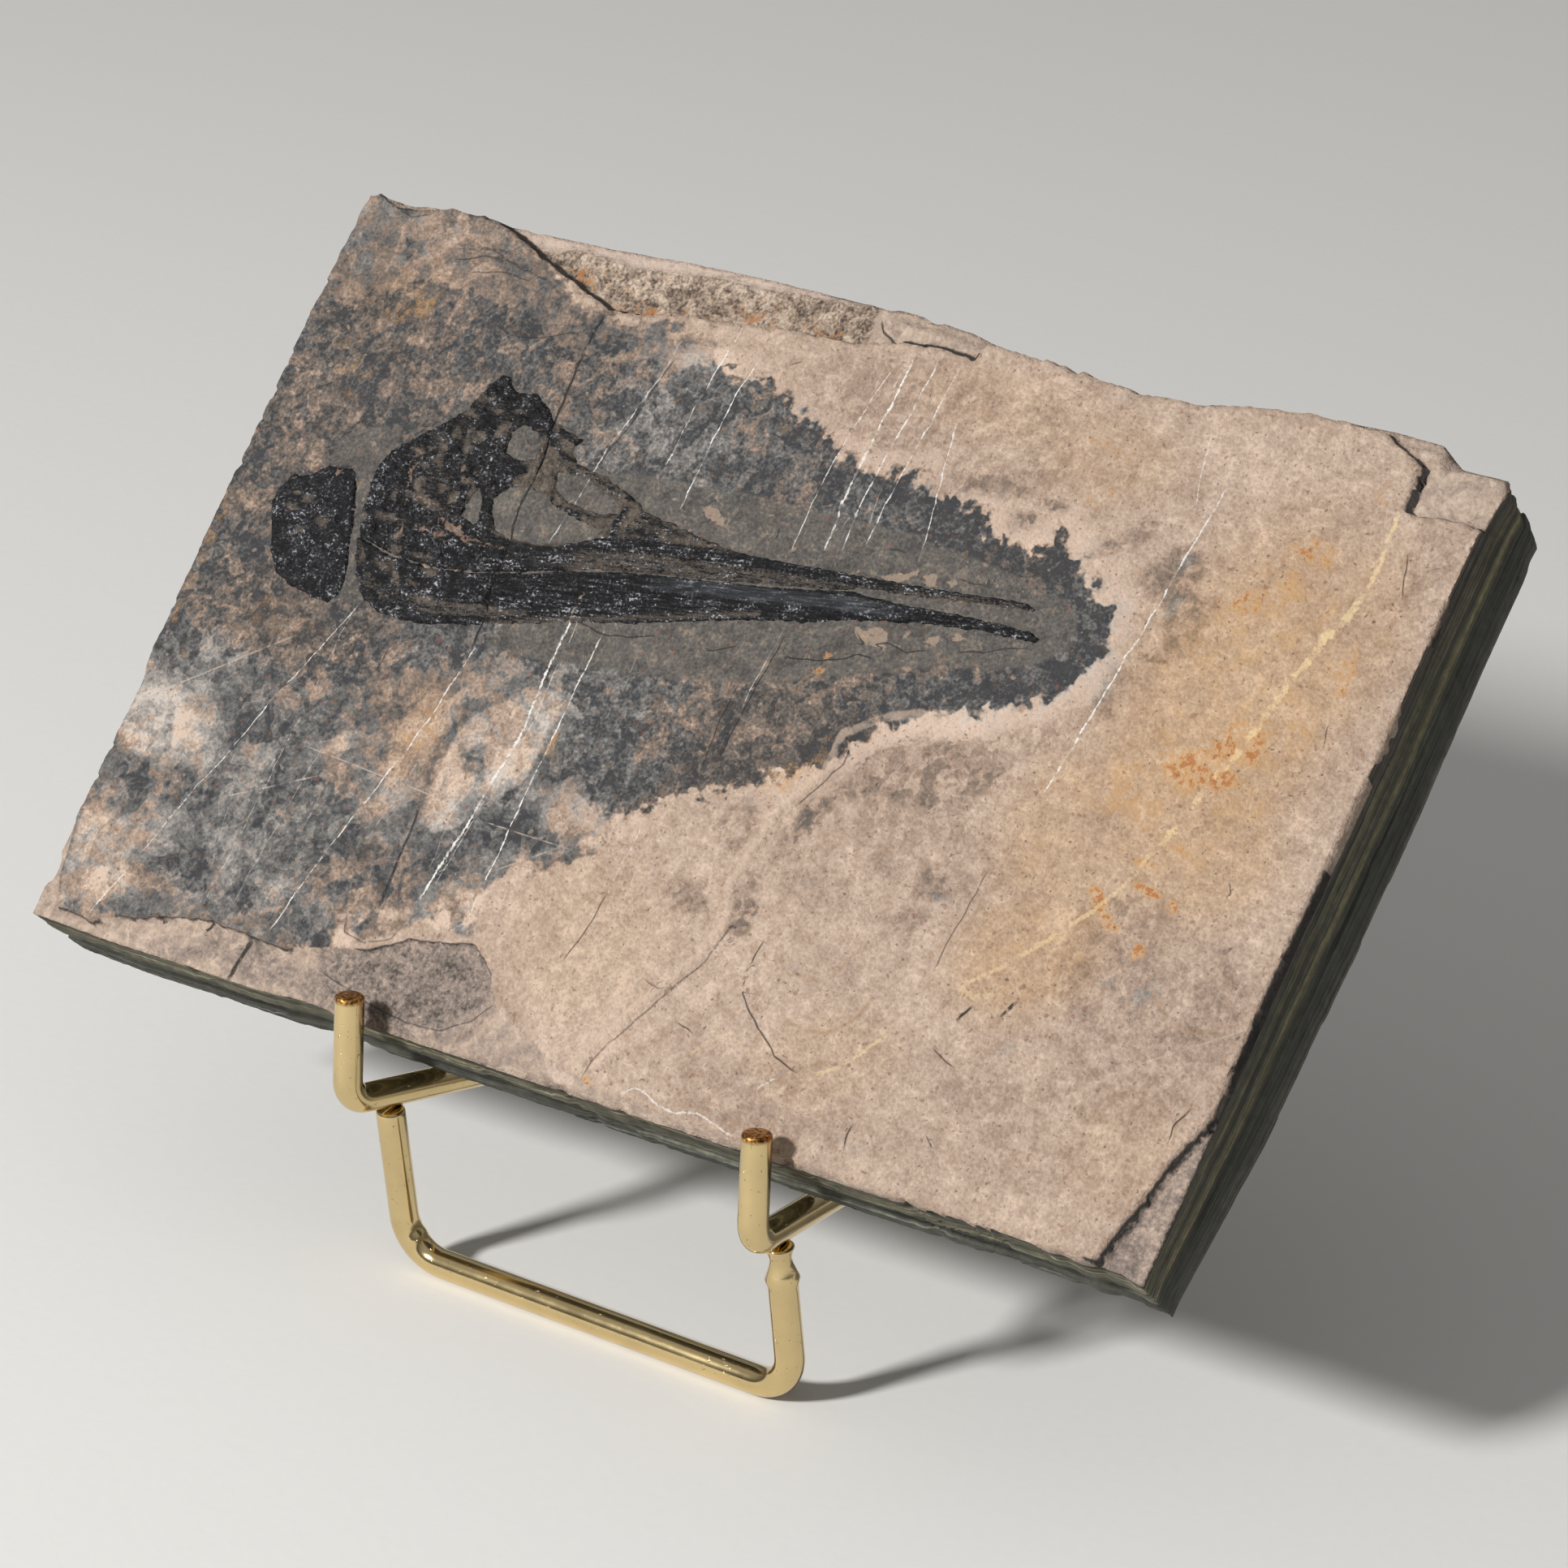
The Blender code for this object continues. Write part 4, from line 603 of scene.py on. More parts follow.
def line_fields(x, y, lines):
    """Signed distance to the nearest line over its half width, and how strongly that line shows.

    The sign turns over on a line, so that the line stays thin between two points of a mesh."""
    wander = LINE_WANDER * lumps(x, y, 2.6, 33, 2)
    nearest = np.full(x.shape, 20.0)
    sign = np.ones(x.shape)
    shows = np.zeros(x.shape)
    for width, strength, points in lines:
        best = np.full(x.shape, FAR)
        side = np.ones(x.shape)
        passed = np.zeros(x.shape)
        run = 0.0
        for (x0, y0), (x1, y1) in zip(points, points[1:]):
            length = math.hypot(x1 - x0, y1 - y0)
            dx, dy = (x1 - x0) / length, (y1 - y0) / length
            along = np.clip((x - x0) * dx + (y - y0) * dy, 0.0, length)
            distance = np.hypot(x - x0 - along * dx, y - y0 - along * dy)
            nearer = distance < best
            best = np.where(nearer, distance, best)
            side = np.where(nearer, (x - x0) * dy - (y - y0) * dx, side)
            passed = np.where(nearer, run + along, passed)
            run += length
        signed = best * np.sign(side) + wander
        inside_ends = (passed > 0.0) & (passed < run)
        near = (np.abs(signed) < 1.3) & inside_ends
        sign = np.where(near & (signed < 0.0), -sign, sign)
        here = np.abs(signed) / (width * 0.5)
        closer = (here < nearest) & inside_ends
        fade = min(LINE_FADE, run * 0.3)
        ends = ease(0.0, fade, passed) * ease(0.0, fade, run - passed)
        shows = np.where(closer, strength * ends * (np.abs(signed) < LINE_REACH), shows)
        nearest = np.where(closer, here, nearest)
    return nearest * sign, shows


def oval_distance(x, y, ovals):
    """About how far each point is inside the nearest of several ovals."""
    total = np.full(x.shape, FAR_OUTSIDE)
    for oval in ovals:
        half_x, half_y, _, strength = oval[2:]
        total = np.maximum(total, (1.0 - from_middle(x, y, oval)) * min(half_x, half_y) * strength)
    return total


def stroke_distance(x, y, strokes):
    """How far each point is inside the nearest of several strokes: width, then the points along it."""
    total = np.full(x.shape, FAR_OUTSIDE)
    for width, points in strokes:
        total = np.maximum(total, width * 0.5 - line_distance(x, y, points))
    return total


def fragments(x, y, seed):
    """Crushed pieces about one unit across, each tilted its own way: height, and distance from a crack."""
    column, row = np.floor(x).astype(np.int64), np.floor(y).astype(np.int64)
    nearest, second = np.full(x.shape, 9.0), np.full(x.shape, 9.0)
    height = np.zeros(x.shape)
    for right in (-1, 0, 1):
        for top in (-1, 0, 1):
            here_x, here_y = column + right, row + top
            off_x = x - here_x - hashed(here_x, here_y, seed)
            off_y = y - here_y - hashed(here_x, here_y, seed + 1)
            turn = hashed(here_x, here_y, seed + 2) * math.tau
            tilted = hashed(here_x, here_y, seed + 3) * 2.0 - 1.0 + np.cos(turn) * off_x + np.sin(turn) * off_y
            distance = np.hypot(off_x, off_y)
            closer = distance < nearest
            second = np.where(closer, nearest, np.minimum(second, distance))
            height = np.where(closer, tilted, height)
            nearest = np.where(closer, distance, nearest)
    return height, second - nearest


# Bones: how far inside its outline each point is, where the bone itself is, and how high it stands

def skull_inside(x, y):
    inside = inside_distance(x, y, SKULL_OUTLINE)
    for window in WINDOWS:
        inside = np.minimum(inside, -inside_distance(x, y, window))
    return inside - 0.08


def jaw_inside(x, y):
    outline = JAW_UNDER + (JAW_TOP[-1],) + JAW_TOP[-2::-1] + SEAM[::-1]
    return inside_distance(x, y, outline) - 0.08


def gill_inside(x, y):
    return inside_distance(x, y, GILL_COVER)


def crushed(x, y, seed):
    """Points moved about, so that what is drawn on them comes out ragged."""
    return (x + 0.55 * lumps(x, y, 1.3, seed, 3), y + 0.40 * lumps(x, y, 1.0, seed + 5, 3))


def skull_bone(x, y):
    """How far each point of the skull is inside bone, less than nothing where stone shows."""
    near_x, near_y = crushed(x, y, 110)
    solid = mixed(0.16, 0.55, painted(near_x, near_y, SOLID_BONE, 0.3))
    behind = np.minimum(solid, -1.3 * oval_distance(near_x, near_y, SKULL_STONE))
    rod = np.minimum(y - height_of(ROD_UNDER, x), height_of(ROD_TOP, x) - y) + 0.06
    ticks = 0.10 * np.sign(np.sin(x * math.tau / 0.66 + 2.0 * ripple(x / 3.0, y / 3.0, 12)))
    ahead = np.maximum(rod + ticks * ease(-26.0, -20.0, x), stroke_distance(x, near_y, SNOUT_STROKES))
    # Between the rod and the seam the crushed bone thins out towards the snout
    ahead = np.maximum(ahead, np.minimum(height_of(ROD_TOP, x) - y, mixed(0.26, -0.5, ease(-30.0, -19.0, x))))
    return mixed(behind, ahead, ease(-38.6, -35.0, x + 1.4 * lumps(x, y, 2.4, 17, 2)))


def skull_height(x, y):
    """Crushed bone behind, drawn out into rods and strands along the snout."""
    pieces, gap = fragments(x / 1.9 + 0.3 * y, y / 1.2, 21)
    crumbs, _ = fragments(x / 0.50, y / 0.42, 22)
    rubble = 0.19 * pieces + 0.10 * crumbs - 0.20 * ease(0.16, 0.03, gap) + 0.10 * ripple(x / 4.0, y / 4.0, 23)
    rod = np.minimum(y - height_of(ROD_UNDER, x), height_of(ROD_TOP, x) - y)
    fibres, _ = fragments(x / 2.4, (y - 0.11 * x) / 0.26, 25)
    strands = 0.30 * np.sqrt(np.clip(rod, 0.0, 1.0)) + 0.06 * fibres + 0.04 * crumbs
    bone = ease(-0.12, 0.12, skull_bone(x, y))
    return 0.16 + mixed(rubble, strands, ease(-38.0, -33.0, x)) * mixed(0.3, 1.0, bone) + 0.18 * bone


def sheen_on_jaw(x, y):
    """The smooth bar along the jaw, from 0 to 1. A painted sheen, lighter blue-grey, lies on it."""
    across = np.abs(y - height_of(SHEEN_LINE, x)) + 0.14 * ripple(x / 2.5, y / 0.8, 82)
    ends = ease(-17.0, -10.0, x) * ease(17.5, 11.0, x)
    return ease(1.05, 0.55, across) * ends


def jaw_bone(x, y):
    """How far each point of the lower jaw is inside bone."""
    near_x, near_y = crushed(x, y, 120)
    stone = np.maximum(1.2 * oval_distance(near_x, near_y, JAW_STONE), stroke_distance(x, y, JAW_STONE_STROKES))
    whole = mixed(0.34, 0.6, ease(-26.0, -6.0, x))
    return np.minimum(whole, -stone)


def jaw_height(x, y):
    """Long ridges that follow the jaw's lower edge, the smooth bar above them."""
    # From the lowest point on, where the edge runs from left to right
    under = height_of(JAW_UNDER[6:], np.maximum(x, JAW_UNDER[6][0]))
    across = (y - under) / np.maximum(0.6, height_of(SEAM + SNOUT_UNDER, x) - under)
    long_ridges = 0.09 * np.cos(across * 4.2 * math.tau + 0.8 * ripple(x / 9.0, y / 3.0, 41))
    fibres, _ = fragments(x / 2.6, (y - 0.17 * x) / 0.30, 42)
    pieces, gap = fragments(x / 1.8, y / 0.9, 43)
    crumbs, _ = fragments(x / 0.46, y / 0.36, 44)
    behind = ease(-14.0, -32.0, x)
    rough = long_ridges + 0.08 * fibres + behind * (0.10 * pieces - 0.10 * ease(0.12, 0.02, gap))
    rough = rough + 0.06 * crumbs * mixed(0.4, 1.0, behind)
    smooth = 0.12 + 0.02 * ripple(x / 3.0, y / 1.5, 46)
    bone = ease(-0.12, 0.12, jaw_bone(x, y))
    return 0.18 + mixed(rough, smooth, sheen_on_jaw(x, y)) * mixed(0.4, 1.0, bone) + 0.20 * bone


def gill_bone(x, y):
    """How far each point of the gill cover is inside bone."""
    near_x, near_y = crushed(x, y, 130)
    return np.minimum(0.42, -oval_distance(near_x, near_y, GILL_STONE))


def gill_height(x, y):
    """A low dome with a fine, slanting grain."""
    out = np.hypot(x - GILL_MIDDLE[0], y - GILL_MIDDLE[1]) / GILL_RADIUS
    crumbs, _ = fragments(x / 0.55 + 0.3 * y, (y - 0.4 * x) / 0.36, 51)
    pieces, _ = fragments(x / 2.6, y / 1.7, 53)
    return 0.38 - 0.16 * out * out + 0.05 * np.cos(out * 2.6 * math.tau) + 0.06 * crumbs + 0.06 * pieces


# The stone

def bed_edge(x, y):
    """How far each point is inside the ragged edge of the top bed."""
    straight = ease(54.0, 60.0, x) * ease(48.0, 44.0, y)
    return inside_distance(x, y, TOP_BED) + (0.20 - 0.15 * straight) * lumps(x, y, 2.4, 61, 3)


def broken_corner_edge(x, y):
    """The same, but only round the corner that has broken off at the bottom right."""
    here = (x > 66.0) & (x < 72.6) & (y > 2.4) & (y < 16.6)
    return np.where(here, bed_edge(x, y), 9.0)


def flake_edge(x, y):
    """How far each point is beyond the thin flake's edge, to its right."""
    nearest = line_distance(x, y, FLAKE_EDGE)
    beyond = x - np.interp(y, [point[1] for point in FLAKE_EDGE], [point[0] for point in FLAKE_EDGE])
    return np.where(beyond > 0.0, nearest, -nearest) + 0.18 * lumps(x, y, 2.2, 97, 2)


def gap_shade_width(x, y):
    """How wide the painted shade of the gap under the top bed's edge is, in millimetres."""
    width = np.zeros(x.shape)
    for wide, points in OPEN_EDGES:
        width = np.maximum(width, wide * ease(2.0, 1.0, line_distance(x, y, points)))
    return width


def stone_height(x, y):
    """The slab's face: the top bed, the ledges where it has broken away, and pockets for the bones."""
    edge = bed_edge(x, y)
    ragged = 0.30 * lumps(x, y, 1.8, 61, 3)
    ledge = LEDGE_LEVEL + 0.16 * lumps(x, y, 3.0, 62, 4)
    strip = ease(0.0, 0.5, inside_distance(x, y, PALE_STRIP) + 0.6 * ragged)
    ledge = mixed(ledge, PALE_LEVEL + 0.06 * lumps(x, y, 4.0, 63), strip)
    for outline, level in FLAKES:
        on_flake = ease(-0.10, 0.15, inside_distance(x, y, outline) + 0.6 * ragged)
        ledge = np.maximum(ledge, mixed(ledge, level + 0.10 * lumps(x, y, 2.2, 64, 4), on_flake))
    face = 0.05 * lumps(x, y, 17.0, 65, 2) + 0.04 * lumps(x, y, 4.6, 66, 3) + 0.03 * lumps(x, y, 1.2, 67, 2)
    bent_x, bent_y = 0.5 * ripple(x / 3.0, y / 3.0, 70), 0.5 * ripple(x / 3.0, y / 3.0, 71)
    scales, _ = fragments(x / 5.0 + bent_x, y / 4.0 + bent_y, 72)
    face = np.minimum(face + 0.035 * scales - 0.08, 0.03)
    shelf = ease(53.0, 50.0, y) * ease(60.0, 30.0, x)
    face = face - 0.34 * shelf * ease(0.10, 0.42, flake_edge(x, y)) * ease(9.0, 1.0, flake_edge(x, y))
    height = mixed(ledge, face, ease(-0.18, -0.06, edge))
    bone = np.maximum(np.maximum(skull_inside(x, y), jaw_inside(x, y)), gill_inside(x, y))
    return height - 0.75 * ease(0.55, 1.0, bone)


def resampled(line, count):
    """The same line as count + 1 evenly spaced points."""
    points = np.array(line, float)
    lengths = np.concatenate(([0.0], np.cumsum(np.hypot(*np.diff(points, axis=0).T))))
    at = np.linspace(0.0, lengths[-1], count + 1)
    return np.stack([np.interp(at, lengths, points[:, axis]) for axis in (0, 1)], axis=1)


def snap(points, reach, edge_at, level=0.0):
    """Move the grid's points that are close to an edge, or to a line beside it, onto it, so that it
    runs clean."""
    x, y = points[1:-1, 1:-1, 0], points[1:-1, 1:-1, 1]
    off = edge_at(x, y)
    nudge = 0.02
    slope_x = (edge_at(x + nudge, y) - off) / nudge
    slope_y = (edge_at(x, y + nudge) - off) / nudge
    steep = np.maximum(slope_x ** 2 + slope_y ** 2, 0.5)
    pull = np.where(np.abs(off - level) < reach, (off - level) / steep, 0.0)
    points[1:-1, 1:-1, 0], points[1:-1, 1:-1, 1] = x - pull * slope_x, y - pull * slope_y


def face_points(columns, rows):
    """Points that fill the stone's outline: (rows + 1) by (columns + 1) by 2."""
    bottom, top = resampled(STONE_BOTTOM, columns), resampled(STONE_TOP, columns)
    left, right = resampled(STONE_LEFT, rows), resampled(STONE_RIGHT, rows)
    # Small chips all along each side, and larger ones here and there
    sides = ((bottom, (0, 1), 0.30), (top, (0, -1), 0.22), (left, (1, 0), 0.55), (right, (-1, 0), 0.06))
    for side, inward, size in sides:
        at_x, at_y = side[:, 0] + 3.1, side[:, 1] - 1.7
        chips = 0.35 * np.abs(lumps(at_x, at_y, 2.2, 68, 2))
        chips = chips + 1.3 * ease(0.25, 0.55, ripple(at_x / 5.0, at_y / 5.0, 69))
        from_end = np.minimum(np.arange(len(side)), np.arange(len(side))[::-1])
        side += np.outer(size * chips * ease(0.0, 6.0, from_end), inward)
    s = np.linspace(0.0, 1.0, columns + 1)[None, :, None]
    t = np.linspace(0.0, 1.0, rows + 1)[:, None, None]
    between = (1 - t) * bottom[None] + t * top[None] + (1 - s) * left[:, None] + s * right[:, None]
    corners = (1 - t) * ((1 - s) * bottom[0] + s * bottom[-1]) + t * ((1 - s) * top[0] + s * top[-1])
    points = between - corners
    reach = 0.25 * (points[0, 1, 0] - points[0, 0, 0] + points[1, 0, 1] - points[0, 0, 1])
    snap(points, reach, flake_edge, 0.10)
    snap(points, reach, bed_edge)
    # The foot of the wall round the broken corner is a clean line too
    snap(points, 0.9 * reach, broken_corner_edge, -2.0 * reach)
    return points


def side_offset(depth, along, facing):
    """How far the slab's side stands out at this depth. The sides show the beds' edges as steps.

    facing is 0 at the bottom of the slab, 1 on its right, 2 at its top and 3 on its left."""
    wavy = depth + 0.10 * ripple(along / 22.0, depth * 0.0 + 0.5, 91)
    rough_side = np.choose(facing, (1.0, 0.4, 1.0, 1.3))
    step = -0.5 * ease(-6.0, -6.3, wavy) * ease(-9.0, -8.7, wavy)
    step = step - 0.22 * ease(-3.4, -3.7, wavy) * ease(-4.9, -4.6, wavy) - 0.30 * ease(-11.2, -11.5, wavy)
    layers = 0.09 * ripple(along / 70.0, wavy / 0.9, 92) + 0.06 * ripple(along / 18.0, wavy / 0.9, 93)
    chips = -0.26 * ease(0.30, 0.40, ripple(along / 7.0, wavy / 1.3, 94))
    rough = 0.035 * lumps(along, wavy * 2.0, 1.6, 95, 2)
    offset = rough_side * (step + layers + chips + rough) - 0.15
    lift = 0.45 * ease(-2.4, -5.0, wavy) + 0.15 * ease(-8.8, -9.4, wavy) - 1.2 * ease(-12.3, -12.9, wavy)
    back = 0.30 * ease(-6.0, -13.0, depth)
    return offset + np.choose(facing, (lift, 0.0 * lift, -back, 0.0 * lift))


def new_mesh_object(name, points, faces, fields=None):
    """An object from points in millimetres and faces, with a number field on its points for each name."""
    mesh = bpy.data.meshes.new(name)
    mesh.from_pydata((np.asarray(points) * MM).tolist(), [], faces)
    for field, values in (fields or {}).items():
        mesh.attributes.new(field, "FLOAT", "POINT").data.foreach_set("value", np.asarray(values, np.float32))
    mesh.shade_smooth()
    mesh.update()
    made = bpy.data.objects.new(name, mesh)
    bpy.context.scene.collection.objects.link(made)
    return made


def lean_back(piece):
    """Turn a piece from the flat drawing to where the slab leans."""
    turn = Matrix.Rotation(math.radians(90.0 - SLAB_LEAN), 4, "X")
    piece.data.transform(Matrix.Translation(Vector(SLAB_EDGE) * MM) @ turn)


def stand_for(piece, node, material):
    """Let a piece take the place of a node of the frame."""
    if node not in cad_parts:
        raise RuntimeError("the frame has no node " + node)
    piece.data.materials.append(material)
    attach(piece, "root")
    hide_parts(node)


def build_slab_mesh(cell):
    """The slab's points and faces, and how many of the points are on its face.

    A fine grid over the face, rings of points down the sides and a coarser grid over the back."""
    columns = BACK_STEP * round(FACE_WIDTH / cell / BACK_STEP)
    rows = BACK_STEP * round(FACE_HEIGHT / cell / BACK_STEP)
    flat = face_points(columns, rows)
    x, y = flat[..., 0], flat[..., 1]
    z = stone_height(x, y)
    points = [np.stack((x, y, z), axis=-1).reshape(-1, 3)]
    index = np.arange((rows + 1) * (columns + 1)).reshape(rows + 1, columns + 1)
    faces = np.stack((index[:-1, :-1], index[:-1, 1:], index[1:, 1:], index[1:, :-1]), -1).reshape(-1, 4).tolist()
    rim = np.concatenate((index[0, :-1], index[:-1, -1], index[-1, :0:-1], index[:0:-1, 0]))
    rim_points = points[0][rim]
    before, after = np.roll(rim_points, 3, axis=0), np.roll(rim_points, -3, axis=0)
    run = (after - before)[:, :2]
    out = np.stack((run[:, 1], -run[:, 0]), axis=1) / np.hypot(run[:, 0], run[:, 1])[:, None]
    along = np.concatenate(([0.0], np.cumsum(np.hypot(*np.diff(rim_points[:, :2], axis=0).T))))
    facing = np.repeat((0, 1, 2, 3), (columns, rows, columns, rows))
    # Close to a corner a point keeps to the corner's own way out, so that no spike forms there
    corner = np.array((0, columns, columns + rows, 2 * columns + rows))
    half = len(rim) // 2
    from_corner = np.abs((np.arange(len(rim))[:, None] - corner + half) % len(rim) - half).min(axis=1)
    calm = ease(0.0, 5.0, from_corner)
    previous = rim
    start = len(points[0])
    for level in range(1, SIDE_RINGS + 1):
        depth = mixed(rim_points[:, 2], -SLAB_THICKNESS, level / SIDE_RINGS)
        offset = side_offset(depth, along, facing) * ease(0.0, 2.0, float(level)) * mixed(0.4, 1.0, calm)
        ring_xy = rim_points[:, :2] + out * offset[:, None]
        slope = height_of(RIGHT_SLOPE, ring_xy[:, 1])
        ring_xy[:, 0] += slope * depth / SLAB_THICKNESS * ease(30.0, 76.0, ring_xy[:, 0])
        points.append(np.column_stack((ring_xy, depth)))
        ring = start + np.arange(len(rim))
        start += len(rim)
        faces += np.stack((previous, ring, np.roll(ring, -1), np.roll(previous, -1)), -1).tolist()
        previous = ring
    back_points, back_faces = back_of_slab(points[-1], previous, columns, rows, start)
    points.append(back_points)
    faces += back_faces
    return np.concatenate(points), faces, len(points[0])


def back_of_slab(ring_points, ring, columns, rows, start):
    """A coarser grid over the back, whose outer cells take in every point of the rim."""
    step = BACK_STEP
    across, up = np.arange(columns + 1), np.arange(rows + 1)
    sides = (across, columns + up, 2 * columns + rows - across, -up % len(ring))
    bottom, right, top, left = (ring[side] for side in sides)
    low, far, high, near = (ring_points[side][::step][1:-1] for side in sides)
    s, t = across[::step][1:-1] / columns, (up[::step][1:-1] / rows)[:, None]
    x = near[:, :1] * (1 - s) + far[:, :1] * s
    y = low[:, 1] * (1 - t) + high[:, 1] * t
    z = 0.25 - SLAB_THICKNESS + 0.22 * lumps(x, y, 14.0, 96, 3)
    made = np.stack((x, y, np.maximum(z, -SLAB_THICKNESS)), axis=-1).reshape(-1, 3)
    corner = np.zeros((rows // step + 1, columns // step + 1), int)
    corner[0], corner[-1], corner[:, 0], corner[:, -1] = (side[::step] for side in (bottom, top, left, right))
    corner[1:-1, 1:-1] = start + np.arange(len(made)).reshape(x.shape)
    faces = []
    for row in range(rows // step):
        for column in range(columns // step):
            here = []
            for corner_at, side, first, way, on_rim in (
                    ((row, column), left, row, 1, column == 0),
                    ((row + 1, column), top, column, 1, row == rows // step - 1),
                    ((row + 1, column + 1), right, row, -1, column == columns // step - 1),
                    ((row, column + 1), bottom, column, -1, row == 0)):
                here.append(int(corner[corner_at]))
                if on_rim:
                    here += side[first * step + 1:(first + 1) * step][::way].tolist()
            faces.append(here)
    return made, faces


def slab_fields(points, face_count):
    """The number fields that the limestone's colours are drawn from."""
    x, y = points[:, 0], points[:, 1]
    fields = {}
    for name, lines in LINE_KINDS:
        fields[name + "_line"], fields[name + "_shows"] = line_fields(x, y, lines)
    side = np.ones(len(points))
    side[:face_count] = 0.0
    edge = bed_edge(x, y)
    warped_x = x + 0.8 * lumps(x, y, 3.4, 101, 4)
    warped_y = y + 0.8 * lumps(x, y, 3.4, 102, 4)
    shade = painted(warped_x, warped_y, DARK_OVALS, 0.30) - painted(warped_x, warped_y, PALE_OVALS, 0.30)
    ragged = 0.30 * lumps(x, y, 1.5, 103, 3)
    for change, outline in PATCHES:
        shade += change * ease(-0.15, 0.25, inside_distance(x, y, outline) + ragged)
    discs = [(u, v, radius, radius, 0, 1) for u, v, radius in DISCS]
    shade -= 0.15 * ease(-0.20, 0.15, oval_distance(x, y, discs) + 0.25 * ragged)
    smooth = np.maximum(inside_distance(x, y, HUG_ZONE), inside_distance(x, y, BEHIND_SKULL))
    smooth = np.maximum(smooth, inside_distance(x, y, SKULL_OUTLINE))
    from_halo = inside_distance(x, y, HALO)
    fields.update({
        "halo": np.clip(from_halo, -9.0, 9.0),
        "mottled": np.clip(inside_distance(x, y, MOTTLED), -9.0, 9.0),
        "smooth": np.clip(smooth, -6.0, 6.0),
        "shade": shade,
        "ring": np.exp(-((from_halo - 1.8) / 2.4) ** 2) * ease(-10.0, 12.0, x),
        "spot": np.clip(oval_distance(warped_x, warped_y, SPOTS), -2.0, 2.0),
        "rust": painted(x, y, RUST_OVALS),
        "warm": painted(x, y, WARM_OVALS),
        "border": painted(x, y, BORDER_OVALS),
        "cold": painted(x, y, COLD_OVALS) - painted(x, y, BROWN_OVALS),
        "rim": ease(0.9, 0.3, np.abs(flake_edge(x, y) + 0.35)) * ease(54.0, 50.0, y) * ease(1.0, 3.0, y),
        # How wide the painted shade in the gaps under the bed's edge is
        "gap": gap_shade_width(x, y),
        "edge": np.clip(edge, -4.0, 4.0),
        "rusty_ledge": ease(0.0, 0.6, inside_distance(x, y, RUSTY_LEDGE)),
        "pale_strip": ease(-0.1, 0.3, inside_distance(x, y, PALE_STRIP) + 0.2 * lumps(x, y, 1.8, 61, 3)),
        "dark_ledge": painted(warped_x, warped_y, LEDGE_OVALS, 0.25),
        "side": side,
    })
    return fields


def relief_piece(name, box, cell, inside_at, height_at, fields_at):
    """A thin closed piece with a relief on top, sunk a little way into the stone round its outline."""
    rim_level, under_level = -0.42, -0.62
    (x0, y0), (x1, y1) = box
    grid_x, grid_y = np.meshgrid(np.arange(x0, x1, cell), np.arange(y0, y1, cell))
    inside = inside_at(grid_x, grid_y) + 0.16 * lumps(grid_x, grid_y, 1.1, 99, 3)
    height = height_at(grid_x, grid_y) - 0.3 * ease(0.3, 0.1, line_distance(grid_x, grid_y, FINE_CRACKS[0][2]))
    top = mixed(rim_level, height, ease(-0.30, 0.36, inside))
    keep = inside > -0.42
    cells = keep[:-1, :-1] & keep[:-1, 1:] & keep[1:, 1:] & keep[1:, :-1]
    used = np.zeros(keep.shape, bool)
    for part in (np.s_[:-1, :-1], np.s_[:-1, 1:], np.s_[1:, 1:], np.s_[1:, :-1]):
        used[part] |= cells
    index = np.cumsum(used.ravel()).reshape(used.shape) - 1
    count = int(used.sum())
    corners = (index[:-1, :-1][cells], index[:-1, 1:][cells], index[1:, 1:][cells], index[1:, :-1][cells])
    tops = np.stack(corners, -1)
    x, y, z = grid_x[used], grid_y[used], top[used]
    under = np.full(count, under_level)
    points = np.concatenate((np.column_stack((x, y, z)), np.column_stack((x, y, under))))
    # An edge that no second face uses is on the outline, and gets a wall
    edges = {}
    for quad in tops.tolist():
        for start, end in zip(quad, quad[1:] + quad[:1]):
            if (end, start) in edges:
                del edges[(end, start)]
            else:
                edges[(start, end)] = True
    faces = tops.tolist() + (tops[:, ::-1] + count).tolist()
    faces += [(start + count, end + count, end, start) for start, end in edges]
    fields = {field: np.tile(values, 2) for field, values in fields_at(x, y).items()}
    return new_mesh_object(name, points, faces, fields)


def bone_fields(bone_at, streaks, shiny, x, y):
    """The number fields that the colours of a bone are drawn from."""
    white, white_shows = line_fields(x, y, WHITE_VEINS_AND_LIT_EDGE)
    crack, crack_shows = line_fields(x, y, FINE_CRACKS[:2])
    return {
        "bone": bone_at(x, y),
        "streak": np.maximum(oval_distance(*crushed(x, y, 140), streaks), -2.0),
        "sheen": sheen_on_jaw(x, y) if shiny else 0.0 * x,
        "white_line": white, "white_shows": white_shows, "crack_line": crack, "crack_shows": crack_shows,
    }


# Materials

# Settings that many nodes share
TIMES = {"operation": "MULTIPLY"}
TIMES_PLUS = {"operation": "MULTIPLY_ADD"}
SMOOTH = {"interpolation_type": "SMOOTHSTEP"}
MIX = {"output": 2, "data_type": "RGBA"}


def linear(code, alpha=1.0):
    """A colour in sRGB hex, such as 'a5623a', as linear numbers."""
    parts = [int(code[at:at + 2], 16) / 255.0 for at in (0, 2, 4)]
    return tuple(part / 12.92 if part <= 0.04045 else ((part + 0.055) / 1.055) ** 2.4 for part in parts) + (alpha,)


